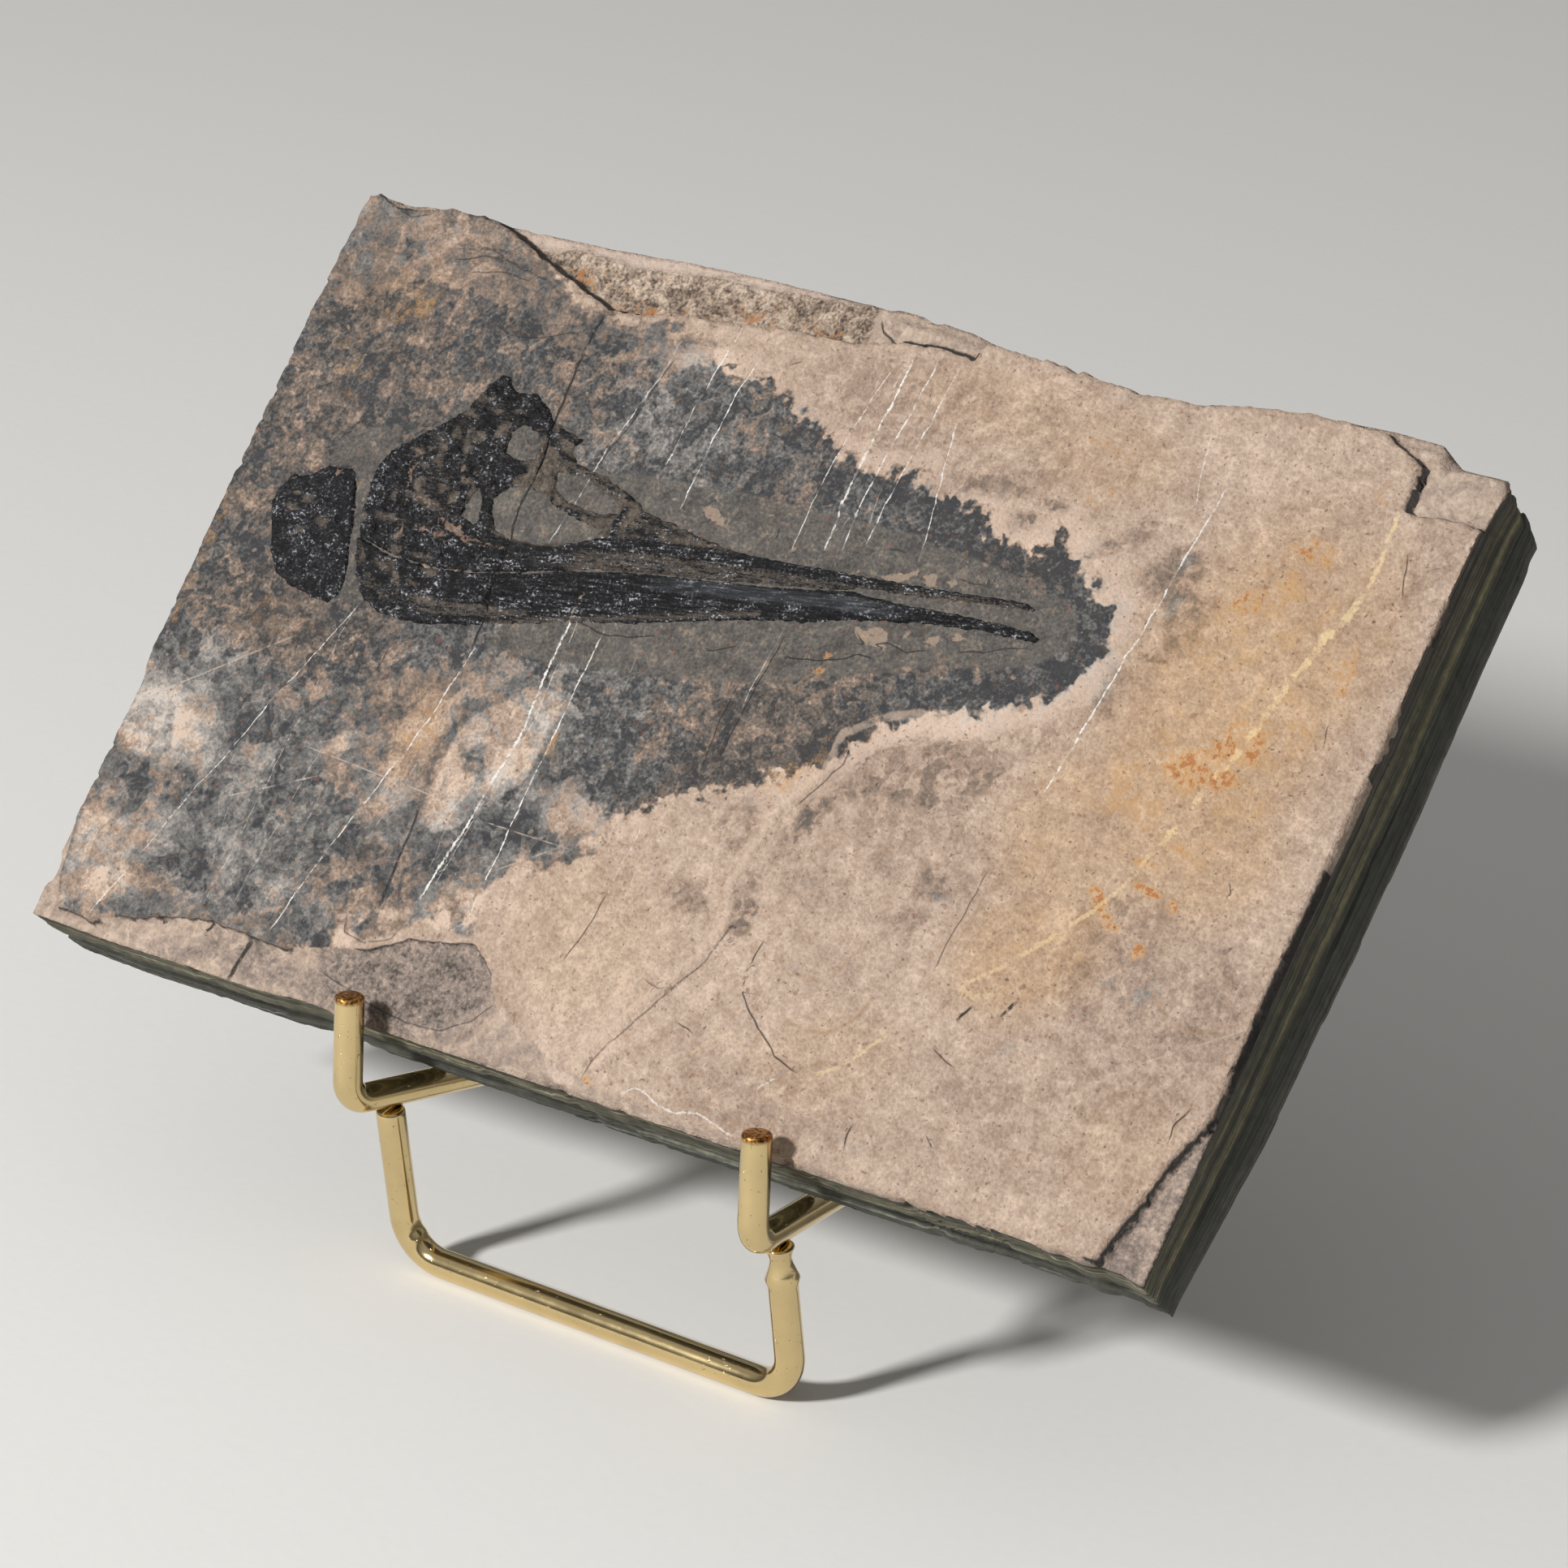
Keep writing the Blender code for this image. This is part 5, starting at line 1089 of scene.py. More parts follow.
def add_node(tree, kind, *inputs, output=0, stops=None, **settings):
    """Add a node with its settings, values and links, and give back one of its outputs.

    The inputs come in the node's own order, or by number or name in a dict."""
    made = tree.nodes.new("ShaderNode" + kind)
    for setting, value in settings.items():
        setattr(made, setting, value)
    given = inputs[0] if inputs and isinstance(inputs[0], dict) else dict(enumerate(inputs))
    for key, value in given.items():
        if isinstance(value, bpy.types.NodeSocket):
            tree.links.new(value, made.inputs[key])
        else:
            made.inputs[key].default_value = value
    for number, (position, colour) in enumerate(stops or ()):
        elements = made.color_ramp.elements
        element = elements[number] if number < len(elements) else elements.new(position)
        element.position = position
        element.color = linear(colour) if isinstance(colour, str) else (*colour, 1.0)
    return made.outputs[output]


def start_material(name, origin=(0.0, 0.0, 0.0), lean=0.0):
    """An empty material, its way to add nodes, and coordinates in millimetres from the origin,
    turned back with the slab."""
    made = bpy.data.materials.new(name)
    made.use_nodes = True
    made.node_tree.nodes.clear()
    node = partial(add_node, made.node_tree)
    place = node("Mapping", node("TexCoord", output=3), tuple(Vector(origin) * MM), (math.radians(lean), 0.0, 0.0),
                 (MM, MM, MM), vector_type="TEXTURE")
    return made, node, place


def finish_material(made, node, shader_inputs, height, bump_depth):
    """Give a material its relief, this many millimetres deep, its shader and its output."""
    normal = node("Bump", {"Height": height, "Distance": bump_depth * MM, "Strength": 1.0})
    shader = node("BsdfPrincipled", dict(shader_inputs, Normal=normal))
    surface = made.node_tree.nodes.new("ShaderNodeOutputMaterial")
    made.node_tree.links.new(shader, surface.inputs["Surface"])
    return made


def split_limestone(settings):
    """Marly limestone, split along its bedding. Dull, finely grained and blotched: beige where
    clean, dark grey where it is rich in organic matter round the fossil, with white and
    yellow calcite veins, rust stains, and olive-grey lamination on its broken sides."""
    made, node, place = start_material("split_limestone", SLAB_EDGE, 90.0 - SLAB_LEAN)
    names = ["halo", "mottled", "smooth", "shade", "ring", "spot", "rust", "warm", "border", "cold", "rim",
             "gap", "rusty_ledge", "pale_strip", "dark_ledge", "edge", "side"]
    names += [name + kind for name, _ in LINE_KINDS for kind in ("_line", "_shows")]
    field = {name: node("Attribute", output=2, attribute_name=name) for name in names}

    # Noise from about -1 to 1: clouds 13 mm across, blotches of 4 and 1.8 mm, twisted lobes of 5.6,
    # 2.9 and 1.3 mm, flecks of 0.8 mm, and grains of 0.4 mm, which are drawn several times as coarse
    # as the silt they stand for
    noise = {}
    for name, size, detail, rough, twist in (
            ("broad", 13.0, 2.0, 0.55, 0.2), ("blotch", 4.2, 3.0, 0.60, 0.5), ("patch", 1.8, 3.0, 0.62, 0.3),
            ("wide lobe", 5.6, 1.6, 0.45, 0.9), ("lobe", 2.9, 1.6, 0.50, 0.8), ("small lobe", 1.3, 1.5, 0.50, 0.5),
            ("fleck", 0.80, 3.0, 0.62, 0.2), ("grain", 0.40, 2.0, 0.6, 0.0), ("other", 3.0, 3.0, 0.62, 0.3)):
        made_noise = node("TexNoise", {"Vector": place, "Scale": 1.0 / size, "Detail": detail, "Roughness": rough,
                                       "Distortion": twist})
        noise[name] = node("Math", made_noise, 5.0, -2.5, **TIMES_PLUS)
    # Thin weathered flakes with lobed outlines, 4 mm and 1.5 mm across, each of its own tone
    bent_place = node("TexNoise", {"Vector": place, "Scale": 1 / 1.6, "Detail": 2.0, "Roughness": 0.6}, output=1)
    bent_place = node("VectorMath", bent_place, (2.6, 2.6, 0.0), place, **TIMES_PLUS)
    for name, size in (("flake", 4.0), ("scale", 1.5)):
        cell = node("TexVoronoi", {"Vector": bent_place, "Scale": 1.0 / size}, output=1)
        cell = node("SeparateColor", cell)
        noise[name] = node("MapRange", cell, 0.0, 1.0, -1.0, 1.0)
    # Layers a fraction of a millimetre thick that have come off in lobes with crisp edges
    for name, source, width in (("crisp wide", "wide lobe", 0.05), ("crisp lobe", "lobe", 0.07),
                                ("crisp small", "small lobe", 0.12), ("crisp fleck", "fleck", 0.2)):
        noise[name] = node("MapRange", noise[source], -width, width, -1.0, 1.0, **SMOOTH)

    # How dark the stone is, from 0 beige to 1 nearly black: the clean right, the mottled left, the halo
    tones = {}
    for name, base, shares in (
            ("clean", 0.17, {
                "broad": 0.05, "blotch": 0.05, "crisp wide": 0.010, "crisp lobe": 0.016, "crisp small": 0.016,
                "scale": 0.02, "patch": 0.085, "fleck": 0.055, "grain": 0.06}),
            ("mottled", 0.55, {
                "broad": 0.05, "crisp wide": 0.075, "crisp lobe": 0.07, "crisp small": 0.05, "flake": 0.07,
                "scale": 0.06, "blotch": 0.05, "patch": 0.05, "fleck": 0.09, "grain": 0.10}),
            ("dark", 0.735, {
                "broad": 0.05, "crisp wide": 0.07, "crisp lobe": 0.10, "crisp small": 0.07, "flake": 0.07,
                "scale": 0.07, "patch": 0.08, "fleck": 0.14, "grain": 0.15})):
        total = base
        for source, share in shares.items():
            total = node("Math", noise[source], share, total, **TIMES_PLUS)
        tones[name] = total
    tones["dark"] = node("Math", field["ring"], 0.24, tones["dark"], **TIMES_PLUS)
    edges = {}
    for name, shares, width in (
            ("mottled", {"broad": 1.4, "blotch": 0.9, "wide lobe": 1.4, "lobe": 1.0, "scale": 0.4,
                         "fleck": 0.2}, 0.8),
            ("halo", {"wide lobe": 0.5, "lobe": 0.8, "small lobe": 0.7, "patch": 0.3, "fleck": 0.2}, 0.35)):
        total = field[name]
        for source, share in shares.items():
            total = node("Math", noise[source], share, total, **TIMES_PLUS)
        edges[name] = total
        edges["in " + name] = node("MapRange", total, -width, width, **SMOOTH)
    in_mottled, in_halo = edges["in mottled"], edges["in halo"]
    tone = node("Mix", {0: in_mottled, 2: tones["clean"], 3: tones["mottled"]})
    shade = node("Math", noise["crisp small"], 0.25, 0.95, **TIMES_PLUS)
    shade = node("Math", noise["crisp lobe"], 0.25, shade, **TIMES_PLUS)
    shade = node("Math", shade, field["shade"], **TIMES)
    outside = node("Math", tone, shade, operation="ADD")
    inside = node("Math", shade, 0.60, tones["dark"], **TIMES_PLUS)
    tone = node("Mix", {0: in_halo, 2: outside, 3: inside})
    brown = node("ValToRGB", tone, stops=(
        (0.0, "b6a08e"), (0.12, settings.beige), (0.3, "8d7868"), (0.45, "786658"), (0.6, "61554c"),
        (0.8, "4b4540"), (1.0, "302d2b")))
    grey = node("ValToRGB", tone, stops=(
        (0.0, "ada399"), (0.12, "9d938a"), (0.3, "85807a"), (0.45, "716d69"), (0.6, "5d5a57"), (0.8, "464544"),
        (1.0, settings.dark)))
    cool = node("Math", in_mottled, 0.90, -1.44, **TIMES_PLUS)
    cool = node("Math", tone, 1.1, cool, **TIMES_PLUS)
    for source, share in ((noise["other"], 0.6), (noise["crisp lobe"], 0.25), (noise["flake"], 0.25),
                          (field["cold"], 1.5), (in_halo, 0.2)):
        cool = node("Math", source, share, cool, **TIMES_PLUS)
    colour = node("Mix", {0: node("MapRange", cool, -0.5, 0.5, **SMOOTH), 6: brown, 7: grey}, **MIX)
    warmer = node("Mix", {0: 1.0, 6: colour, 7: linear("fff4e0")}, blend_type="MULTIPLY", **MIX)
    colour = node("Mix", {0: field["warm"], 6: colour, 7: warmer}, **MIX)

    # Everything that lies over that, from the first to the last: how much, and which colour
    border = node("MapRange", edges["halo"], -2.9, -2.3, **SMOOTH)
    border = node("Math", border, node("MapRange", edges["halo"], -0.35, -0.75, **SMOOTH), **TIMES)
    border = node("Math", border, field["border"], **TIMES)
    near = node("Math", noise["lobe"], 0.45, field["smooth"], **TIMES_PLUS)
    hug = node("Math", noise["fleck"], 0.16, 0.5, **TIMES_PLUS)
    for source, share in (("blotch", 0.12), ("patch", 0.16), ("grain", 0.22), ("scale", 0.10)):
        hug = node("Math", noise[source], share, hug, **TIMES_PLUS)
    hug = node("ValToRGB", hug, stops=((0.12, "2b2826"), (0.38, "45413d"), (0.6, "55504a"), (0.95, "756b60")))
    spot = node("Math", noise["fleck"], 0.16, field["spot"], **TIMES_PLUS)
    rust = node("Math", noise["patch"], 0.34, field["rust"], **TIMES_PLUS)
    rust = node("Math", noise["crisp fleck"], 0.16, rust, **TIMES_PLUS)
    ochre = node("Math", noise["other"], 0.40, field["warm"], **TIMES_PLUS)
    ochre = node("Math", noise["crisp lobe"], 0.10, ochre, **TIMES_PLUS)
    tints = [
        (node("Math", border, 0.58, **TIMES), linear("b9a393")),
        (node("MapRange", near, -0.30, 0.30, 0.0, 0.92, **SMOOTH), hug),
        (node("MapRange", spot, -0.06, 0.12, 0.0, 0.75, **SMOOTH), linear("8d7a69")),
        (node("MapRange", ochre, 0.75, 1.45, 0.0, 0.38, **SMOOTH), linear("b08b5c")),
        (node("MapRange", rust, 0.25, 0.90, 0.0, 0.62, **SMOOTH), linear("b08654")),
        (node("MapRange", rust, 0.80, 1.00, 0.0, 0.80, **SMOOTH), linear("935a2c"))]
    # Specks about half a millimetre across: reddish, dark and pale
    for size, low, high, most, tint in ((0.95, 0.69, 0.73, 0.50, "70493a"), (0.60, 0.70, 0.75, 0.6, "3b342f"),
                                        (1.3, 0.73, 0.76, 0.35, "a8937f")):
        speck = node("TexNoise", {"Vector": place, "Scale": 1 / size, "Detail": 1.0})
        tints.append((node("MapRange", speck, low, high, 0.0, most, **SMOOTH), linear(tint)))

    # Lines: tan flake edges, calcite veins and one painted highlight on a raised edge, each broken where its own
    # blotches are dark
    broken = node("Math", noise["patch"], noise["other"], operation="ADD")
    for name, tint, thin, low, most in (
            ("tan", "8e7357", 1.6, 0.3, 0.75), ("white", "cdc8c2", 1.05, 0.15, 0.92),
            ("fine", "b3aca4", 1.0, 0.0, 0.6), ("yellow", "c8b085", 1.8, 0.0, 0.70)):
        off_line = node("Math", field[name + "_line"], operation="ABSOLUTE")
        off_line = node("Math", noise["fleck"], 0.5, off_line, **TIMES_PLUS)
        off_line = node("Math", noise["grain"], 0.35, off_line, **TIMES_PLUS)
        shown = node("MapRange", off_line, thin, thin * 0.4, 0.0, most, **SMOOTH)
        shown = node("Math", shown, field[name + "_shows"], **TIMES)
        whole = node("MapRange", broken, -0.7, 0.3, low, 1.0, **SMOOTH)
        tints.append((node("Math", shown, whole, **TIMES), linear(tint)))
    for width, strength, start, end in SCRATCHES:
        length = math.dist(start, end)
        along = ((end[0] - start[0]) / length, (end[1] - start[1]) / length, 0.0)
        run = node("VectorMath", place, along, output=1, operation="DOT_PRODUCT")
        off_line = node("VectorMath", place, (-along[1], along[0], 0.0), output=1, operation="DOT_PRODUCT")
        first = start[0] * along[0] + start[1] * along[1]
        off_line = node("Math", off_line, start[1] * along[0] - start[0] * along[1], operation="SUBTRACT")
        off_line = node("Math", off_line, operation="ABSOLUTE")
        shown = node("MapRange", off_line, width, width * 0.4, 0.0, strength, **SMOOTH)
        for low, high in ((first, first + 2.0), (first + length, first + length - 2.0)):
            shown = node("Math", shown, node("MapRange", run, low, high, **SMOOTH), **TIMES)
        shown = node("Math", shown, node("MapRange", noise["patch"], -0.6, 0.3, 0.1, 1.0, **SMOOTH), **TIMES)
        tints.append((shown, linear("b4a696")))
    rim = node("Math", noise["patch"], 0.35, field["rim"], **TIMES_PLUS)
    tints.append((node("MapRange", rim, 0.5, 1.1, 0.0, 0.45, **SMOOTH), linear("b8a28f")))
    # Dark cracks; where one runs along the foot of a step its dark is painted shade
    off_line = node("Math", field["crack_line"], operation="ABSOLUTE")
    off_line = node("Math", noise["fleck"], 0.5, off_line, **TIMES_PLUS)
    crack = node("MapRange", off_line, 1.4, 0.5, **SMOOTH)
    crack = node("Math", crack, field["crack_shows"], **TIMES)
    whole = node("Math", noise["patch"], noise["fleck"], operation="ADD")
    crack = node("Math", crack, node("MapRange", whole, -1.2, -0.4, 0.35, 1.0, **SMOOTH), **TIMES)

    # Ledges: a rusty, sandy one along the top with a pale strip behind it, others beige or purplish brown
    low = node("Math", field["dark_ledge"], 0.60, 0.26, **TIMES_PLUS)
    speckled = node("Math", noise["fleck"], 0.17, **TIMES)
    speckled = node("Math", noise["grain"], 0.15, speckled, **TIMES_PLUS)
    speckled = node("Math", speckled, node("MapRange", field["dark_ledge"], 0.0, 0.7, 0.35, 1.0), **TIMES)
    low = node("Math", low, speckled, operation="ADD")
    for source, share in (("patch", 0.10), ("blotch", 0.06), ("crisp lobe", 0.05), ("crisp small", 0.06)):
        low = node("Math", noise[source], share, low, **TIMES_PLUS)
    ledge = node("ValToRGB", low, stops=(
        (0.0, "b5a292"), (0.25, "9d8a7a"), (0.5, "817268"), (0.75, "655a52"), (1.0, "3f3833")))
    sandy = node("Math", noise["patch"], 0.16, 0.5, **TIMES_PLUS)
    for source, share in (("fleck", 0.17), ("grain", 0.21), ("crisp lobe", 0.08), ("crisp small", 0.08)):
        sandy = node("Math", noise[source], share, sandy, **TIMES_PLUS)
    sandy = node("ValToRGB", sandy, stops=((0.10, "3a2e26"), (0.35, "6b5b4e"), (0.6, "907f6e"), (0.95, "b8a796")))
    orange = node("Math", noise["other"], noise["fleck"], operation="ADD")
    orange = node("Math", field["edge"], 0.35, orange, **TIMES_PLUS)
    orange = node("MapRange", orange, -0.30, 0.7, 0.0, 0.75, **SMOOTH)
    sandy = node("Mix", {0: orange, 6: sandy, 7: linear("996636")}, **MIX)
    ledge = node("Mix", {0: field["rusty_ledge"], 6: ledge, 7: sandy}, **MIX)
    strip = node("Math", field["pale_strip"], node("MapRange", noise["fleck"], -1.0, 0.4, 0.60, 0.97), **TIMES)
    ledge = node("Mix", {0: strip, 6: ledge, 7: linear("b09d8f")}, **MIX)
    # The bed's ragged edge: the ledge starts where it ends, and painted shade darkens the gap that runs along under
    # it in places
    ragged = node("Math", noise["fleck"], 0.045, field["edge"], **TIMES_PLUS)
    below = node("MapRange", ragged, -0.02, -0.16, **SMOOTH)
    wide = node("Math", noise["patch"], 0.07, field["gap"], **TIMES_PLUS)
    gap_shade = node("Math", ragged, wide, operation="ADD")
    gap_shade = node("Math", below, node("MapRange", gap_shade, 0.0, 0.25, **SMOOTH), **TIMES)
    gap_shade = node("Math", gap_shade, node("MapRange", field["gap"], 0.05, 0.30, **SMOOTH), **TIMES)
    tints += [(below, ledge), (node("Math", gap_shade, 0.95, **TIMES), linear("14110f")),
              (node("Math", crack, 0.95, **TIMES), linear("1a1613"))]

    # The sides: laminae 0.4 mm thick that run along the bedding, olive in the middle
    flat = node("VectorMath", place, (0.03, 0.03, 2.4), **TIMES)
    layers = node("TexNoise", {"Vector": flat, "Scale": 1.0, "Detail": 4.0, "Roughness": 0.62})
    depth = node("SeparateXYZ", place, output=2)
    depth = node("MapRange", depth, -SLAB_THICKNESS, 0.0)
    bands = node("ValToRGB", depth, stops=(
        (0.0, "54534a"), (0.22, "3a3b35"), (0.42, "43433a"), (0.50, "6f684b"), (0.57, "3f3f37"), (0.72, "5b5744"),
        (0.84, "3c3a34"), (1.0, "5f564d")))
    strength = node("MapRange", layers, 0.34, 0.66, 0.25, 1.7)
    # Painted highlights: on the bottom side only, paler laminae stand in for the light grazing their edges
    low_down = node("MapRange", node("SeparateXYZ", place, output=1), 2.5, 0.5)
    pale = node("Math", node("MapRange", layers, 0.54, 0.64, 0.0, 1.5, **SMOOTH), low_down, **TIMES)
    strength = node("Math", strength, pale, operation="ADD")
    strength = node("Math", strength, node("MapRange", noise["patch"], -1.0, 1.0, 0.75, 1.25), **TIMES)
    strength = node("Math", strength, node("MapRange", noise["fleck"], -1.0, 1.0, 0.7, 1.3), **TIMES)
    bands = node("VectorMath", {0: bands, 3: strength}, operation="SCALE")
    on_side = node("Math", noise["patch"], 0.12, field["side"], **TIMES_PLUS)
    on_side = node("MapRange", on_side, 0.30, 0.60, **SMOOTH)
    for share, tint in tints + [(on_side, bands)]:
        colour = node("Mix", {0: share, 6: colour, 7: tint}, **MIX)

    # Relief too fine for the mesh: grain, flecks, hairline cracks, and the laminae on the sides
    relief = node("Math", noise["grain"], 0.45, **TIMES)
    for source, share in ((noise["fleck"], 0.75), (crack, -3.0)):
        relief = node("Math", source, share, relief, **TIMES_PLUS)
    relief = node("Mix", {0: on_side, 2: relief, 3: node("Math", layers, 9.0, **TIMES)})
    rough = node("MapRange", noise["fleck"], -1.0, 1.0, 0.72, 0.95)
    return finish_material(made, node, {"Base Color": colour, "Roughness": rough, "IOR": 1.5}, relief, 0.05)


def fossil_bone(settings):
    """Phosphatised bone, black and crushed, with glints painted into its colour on its broken fibres.
    Grey-brown stone shows between the bones, and pinkish streaks of it in the cheek."""
    made, node, place = start_material("black_fossil_bone", SLAB_EDGE, 90.0 - SLAB_LEAN)
    names = ("bone", "streak", "sheen", "white_line", "white_shows", "crack_line", "crack_shows")
    field = {name: node("Attribute", output=2, attribute_name=name) for name in names}
    # Fibres 0.3 mm thick drawn out along the snout, fragments of 1 mm, and grains of 0.1 mm that carry
    # painted glints, which are drawn at 0.3 mm so that they show
    drawn_out = node("Mapping", place, (0.0, 0.0, 0.0), (0.0, 0.0, 0.15), (2.4, 0.30, 1.0), vector_type="TEXTURE")
    noise = {}
    for name, vector, size, detail in (
            ("fibre", drawn_out, 1.0, 3.0), ("piece", place, 1.2, 4.0), ("grain", place, 0.34, 3.0),
            ("other", drawn_out, 0.7, 4.0), ("wide", place, 3.4, 3.0)):
        made_noise = node("TexNoise", {"Vector": vector, "Scale": 1.0 / size, "Detail": detail, "Roughness": 0.64})
        noise[name] = node("Math", made_noise, 5.0, -2.5, **TIMES_PLUS)
    behind = node("SeparateXYZ", place)
    behind = node("MapRange", behind, -30.0, -44.0, **SMOOTH)
    strands = node("Mix", {0: node("Math", behind, 0.7, **TIMES), 2: noise["fibre"], 3: noise["piece"]})
    # Painted glints, light specks standing in for facets that catch the light, crowd together on some of the pieces
    painted_glint = node("Math", noise["wide"], 0.55, noise["grain"], **TIMES_PLUS)
    painted_glint = node("Math", strands, 0.35, painted_glint, **TIMES_PLUS)
    painted_glint = node("MapRange", painted_glint, 0.20, 1.50, **SMOOTH)
    tone = node("Math", strands, 0.24, 0.44, **TIMES_PLUS)
    for source, share in ((noise["grain"], 0.20), (noise["wide"], 0.07), (painted_glint, 0.36)):
        tone = node("Math", source, share, tone, **TIMES_PLUS)
    # The light greys at the top of this ramp are the painted glints
    bone = node("ValToRGB", tone, stops=(
        (0.15, "050506"), (0.36, settings.bone), (0.52, "222224"), (0.68, "434345"), (0.86, "77777a"),
        (1.0, "a6a6a8")))
    ground = node("Math", noise["grain"], 0.22, 0.45, **TIMES_PLUS)
    ground = node("Math", noise["piece"], 0.20, ground, **TIMES_PLUS)
    stone = node("ValToRGB", ground, stops=((0.12, "27231f"), (0.38, "48413a"), (0.62, "625950"), (0.95, "84786b")))
    ragged = node("Math", noise["grain"], 0.30, field["bone"], **TIMES_PLUS)
    for source, share in ((noise["other"], 0.26), (noise["piece"], 0.14)):
        ragged = node("Math", source, share, ragged, **TIMES_PLUS)
    is_bone = node("MapRange", ragged, -0.05, 0.05, **SMOOTH)
    streak = node("Math", noise["grain"], 0.16, field["streak"], **TIMES_PLUS)
    streak = node("Math", noise["other"], 0.10, streak, **TIMES_PLUS)
    # Painted sheen: a lighter blue-grey along the jaw's smooth bar
    painted_sheen = node("ValToRGB", node("Math", noise["fibre"], 0.24, 0.5, **TIMES_PLUS), stops=(
        (0.2, "131416"), (0.5, "34363a"), (0.85, "68696c")))
    tints = [(is_bone, bone), (node("MapRange", streak, -0.06, 0.14, 0.0, 0.8, **SMOOTH), linear("806a5c")),
             (node("Math", field["sheen"], 0.65, **TIMES), painted_sheen)]
    for name, tint, most in (("white", "a8988a", 0.7), ("crack", "060606", 1.0)):
        off_line = node("Math", field[name + "_line"], operation="ABSOLUTE")
        off_line = node("Math", noise["grain"], 0.5, off_line, **TIMES_PLUS)
        shown = node("MapRange", off_line, 1.4, 0.5, 0.0, most, **SMOOTH)
        shown = node("Math", shown, field[name + "_shows"], **TIMES)
        if name == "white":
            shown = node("Math", shown, node("MapRange", noise["piece"], -0.2, 0.5, **SMOOTH), **TIMES)
        tints.append((shown, linear(tint)))
    colour = stone
    for share, tint in tints:
        colour = node("Mix", {0: share, 6: colour, 7: tint}, **MIX)
    rough = node("MapRange", painted_glint, 0.0, 0.6, 0.80, 0.38)
    rough = node("Mix", {0: is_bone, 2: 0.90, 3: rough})
    relief = node("Math", strands, 0.9, **TIMES)
    for source, share in (("grain", 0.7), ("piece", 0.3)):
        relief = node("Math", noise[source], share, relief, **TIMES_PLUS)
    shader = {"Base Color": colour, "Roughness": rough, "IOR": 1.5, "Specular IOR Level": 0.25}
    return finish_material(made, node, shader, relief, 0.07)


def brass_plating(colour):
    """Bent steel wire, polished and brass plated. It mirrors its surroundings, a little blurred, and is
    pricked by tiny pits in the plating."""
    made, node, place = start_material("brass_plated_wire")
    cloud = node("TexNoise", {"Vector": place, "Scale": 1 / 5.0, "Detail": 3.0})
    # Pits are about 0.1 mm across, and drawn at 0.3 mm so that they show
    pits = node("TexNoise", {"Vector": place, "Scale": 1 / 0.45, "Detail": 3.0})
    pits = node("MapRange", pits, 0.67, 0.76)
    tone = node("MapRange", cloud, 0.3, 0.7, 0.86, 1.0)
    plated = node("VectorMath", {0: tuple(colour), 3: tone}, operation="SCALE")
    tarnish = node("Math", pits, 0.55, **TIMES)
    plated = node("Mix", {0: tarnish, 6: plated, 7: linear("5a4326")}, **MIX)
    # The sawn ends of the hooks have no plating, and have tarnished
    cut = node("MapRange", node("SeparateXYZ", place, output=2), HOOK_TOP_Z - 0.75, HOOK_TOP_Z - 0.30)
    cut = node("Math", cut, node("MapRange", node("SeparateXYZ", place, output=1), -32.0, -33.0), **TIMES)
    sawn = node("TexNoise", {"Vector": place, "Scale": 1 / 0.35, "Detail": 3.0})
    sawn = node("ValToRGB", sawn, stops=((0.35, "4a3018"), (0.5, "94642f"), (0.65, "d2a766")))
    plated = node("Mix", {0: cut, 6: plated, 7: sawn}, **MIX)
    rough = node("MapRange", cloud, 0.3, 0.7, 0.10, 0.20)
    rough = node("Math", pits, 0.25, rough, **TIMES_PLUS)
    rough = node("Math", cut, 0.25, rough, **TIMES_PLUS)
    relief = node("Math", pits, -1.5, cloud, **TIMES_PLUS)
    return finish_material(made, node, {"Base Color": plated, "Metallic": 1.0, "Roughness": rough}, relief, 0.03)


def paper_floor(colour):
    """Plain matt paper."""
    made, node, place = start_material("pale_paper")
    fibre = node("TexNoise", {"Vector": place, "Scale": 1 / 1.5, "Detail": 3.0})
    tone = node("MapRange", fibre, 0.0, 1.0, 0.97, 1.0)
    shade = node("VectorMath", {0: tuple(colour), 3: tone}, operation="SCALE")
    return finish_material(made, node, {"Base Color": shade, "Roughness": 0.9}, fibre, 0.02)


# The wires of the stand

# Their middles, in millimetres. The stand's own middle is at STAND_X, and the other x values are
# half widths from there. Angles are in degrees.
STAND_X = 1.1
HOOK_X, HOOK_Y, HOOK_Z, HOOK_TOP_Z, HOOK_LEAN = 27.3, -36.97, 23.0, 35.3, 4.4
ARM_END_X, ARM_END_Y, REAR_FOOT_Y, ARM_DROP = 17.9, 21.8, 23.8, 8.6
LEG_X, LEG_Y, LEG_TOP_Y = 26.4, -28.7, -31.1
REST_FOOT_Y, REST_TOP_X, REST_HEIGHT = 9.3, 13.0, 64.0
HOOK_BEND, FOOT_BEND, REST_BEND = 2.7, 4.8, 8.0
# Gaps that keep one wire from another, and the rest from the slab
LEG_GAP, REST_FOOT_GAP, REST_GAP = 0.35, 0.6, 0.3
# Swellings and pinches of the front leg: height, half length, share of the radius
WELD_RING, WELD_NECK = (16.2, 0.42, 0.17), (18.4, 1.15, -0.30)
WIRE_STEP = 0.8
# The chamfer on a wire's end: how far in from the end, and share of the radius
WIRE_END = ((0.0, 0.0), (0.0, 0.80), (0.06, 0.90), (0.22, 0.97), (0.45, 1.0))


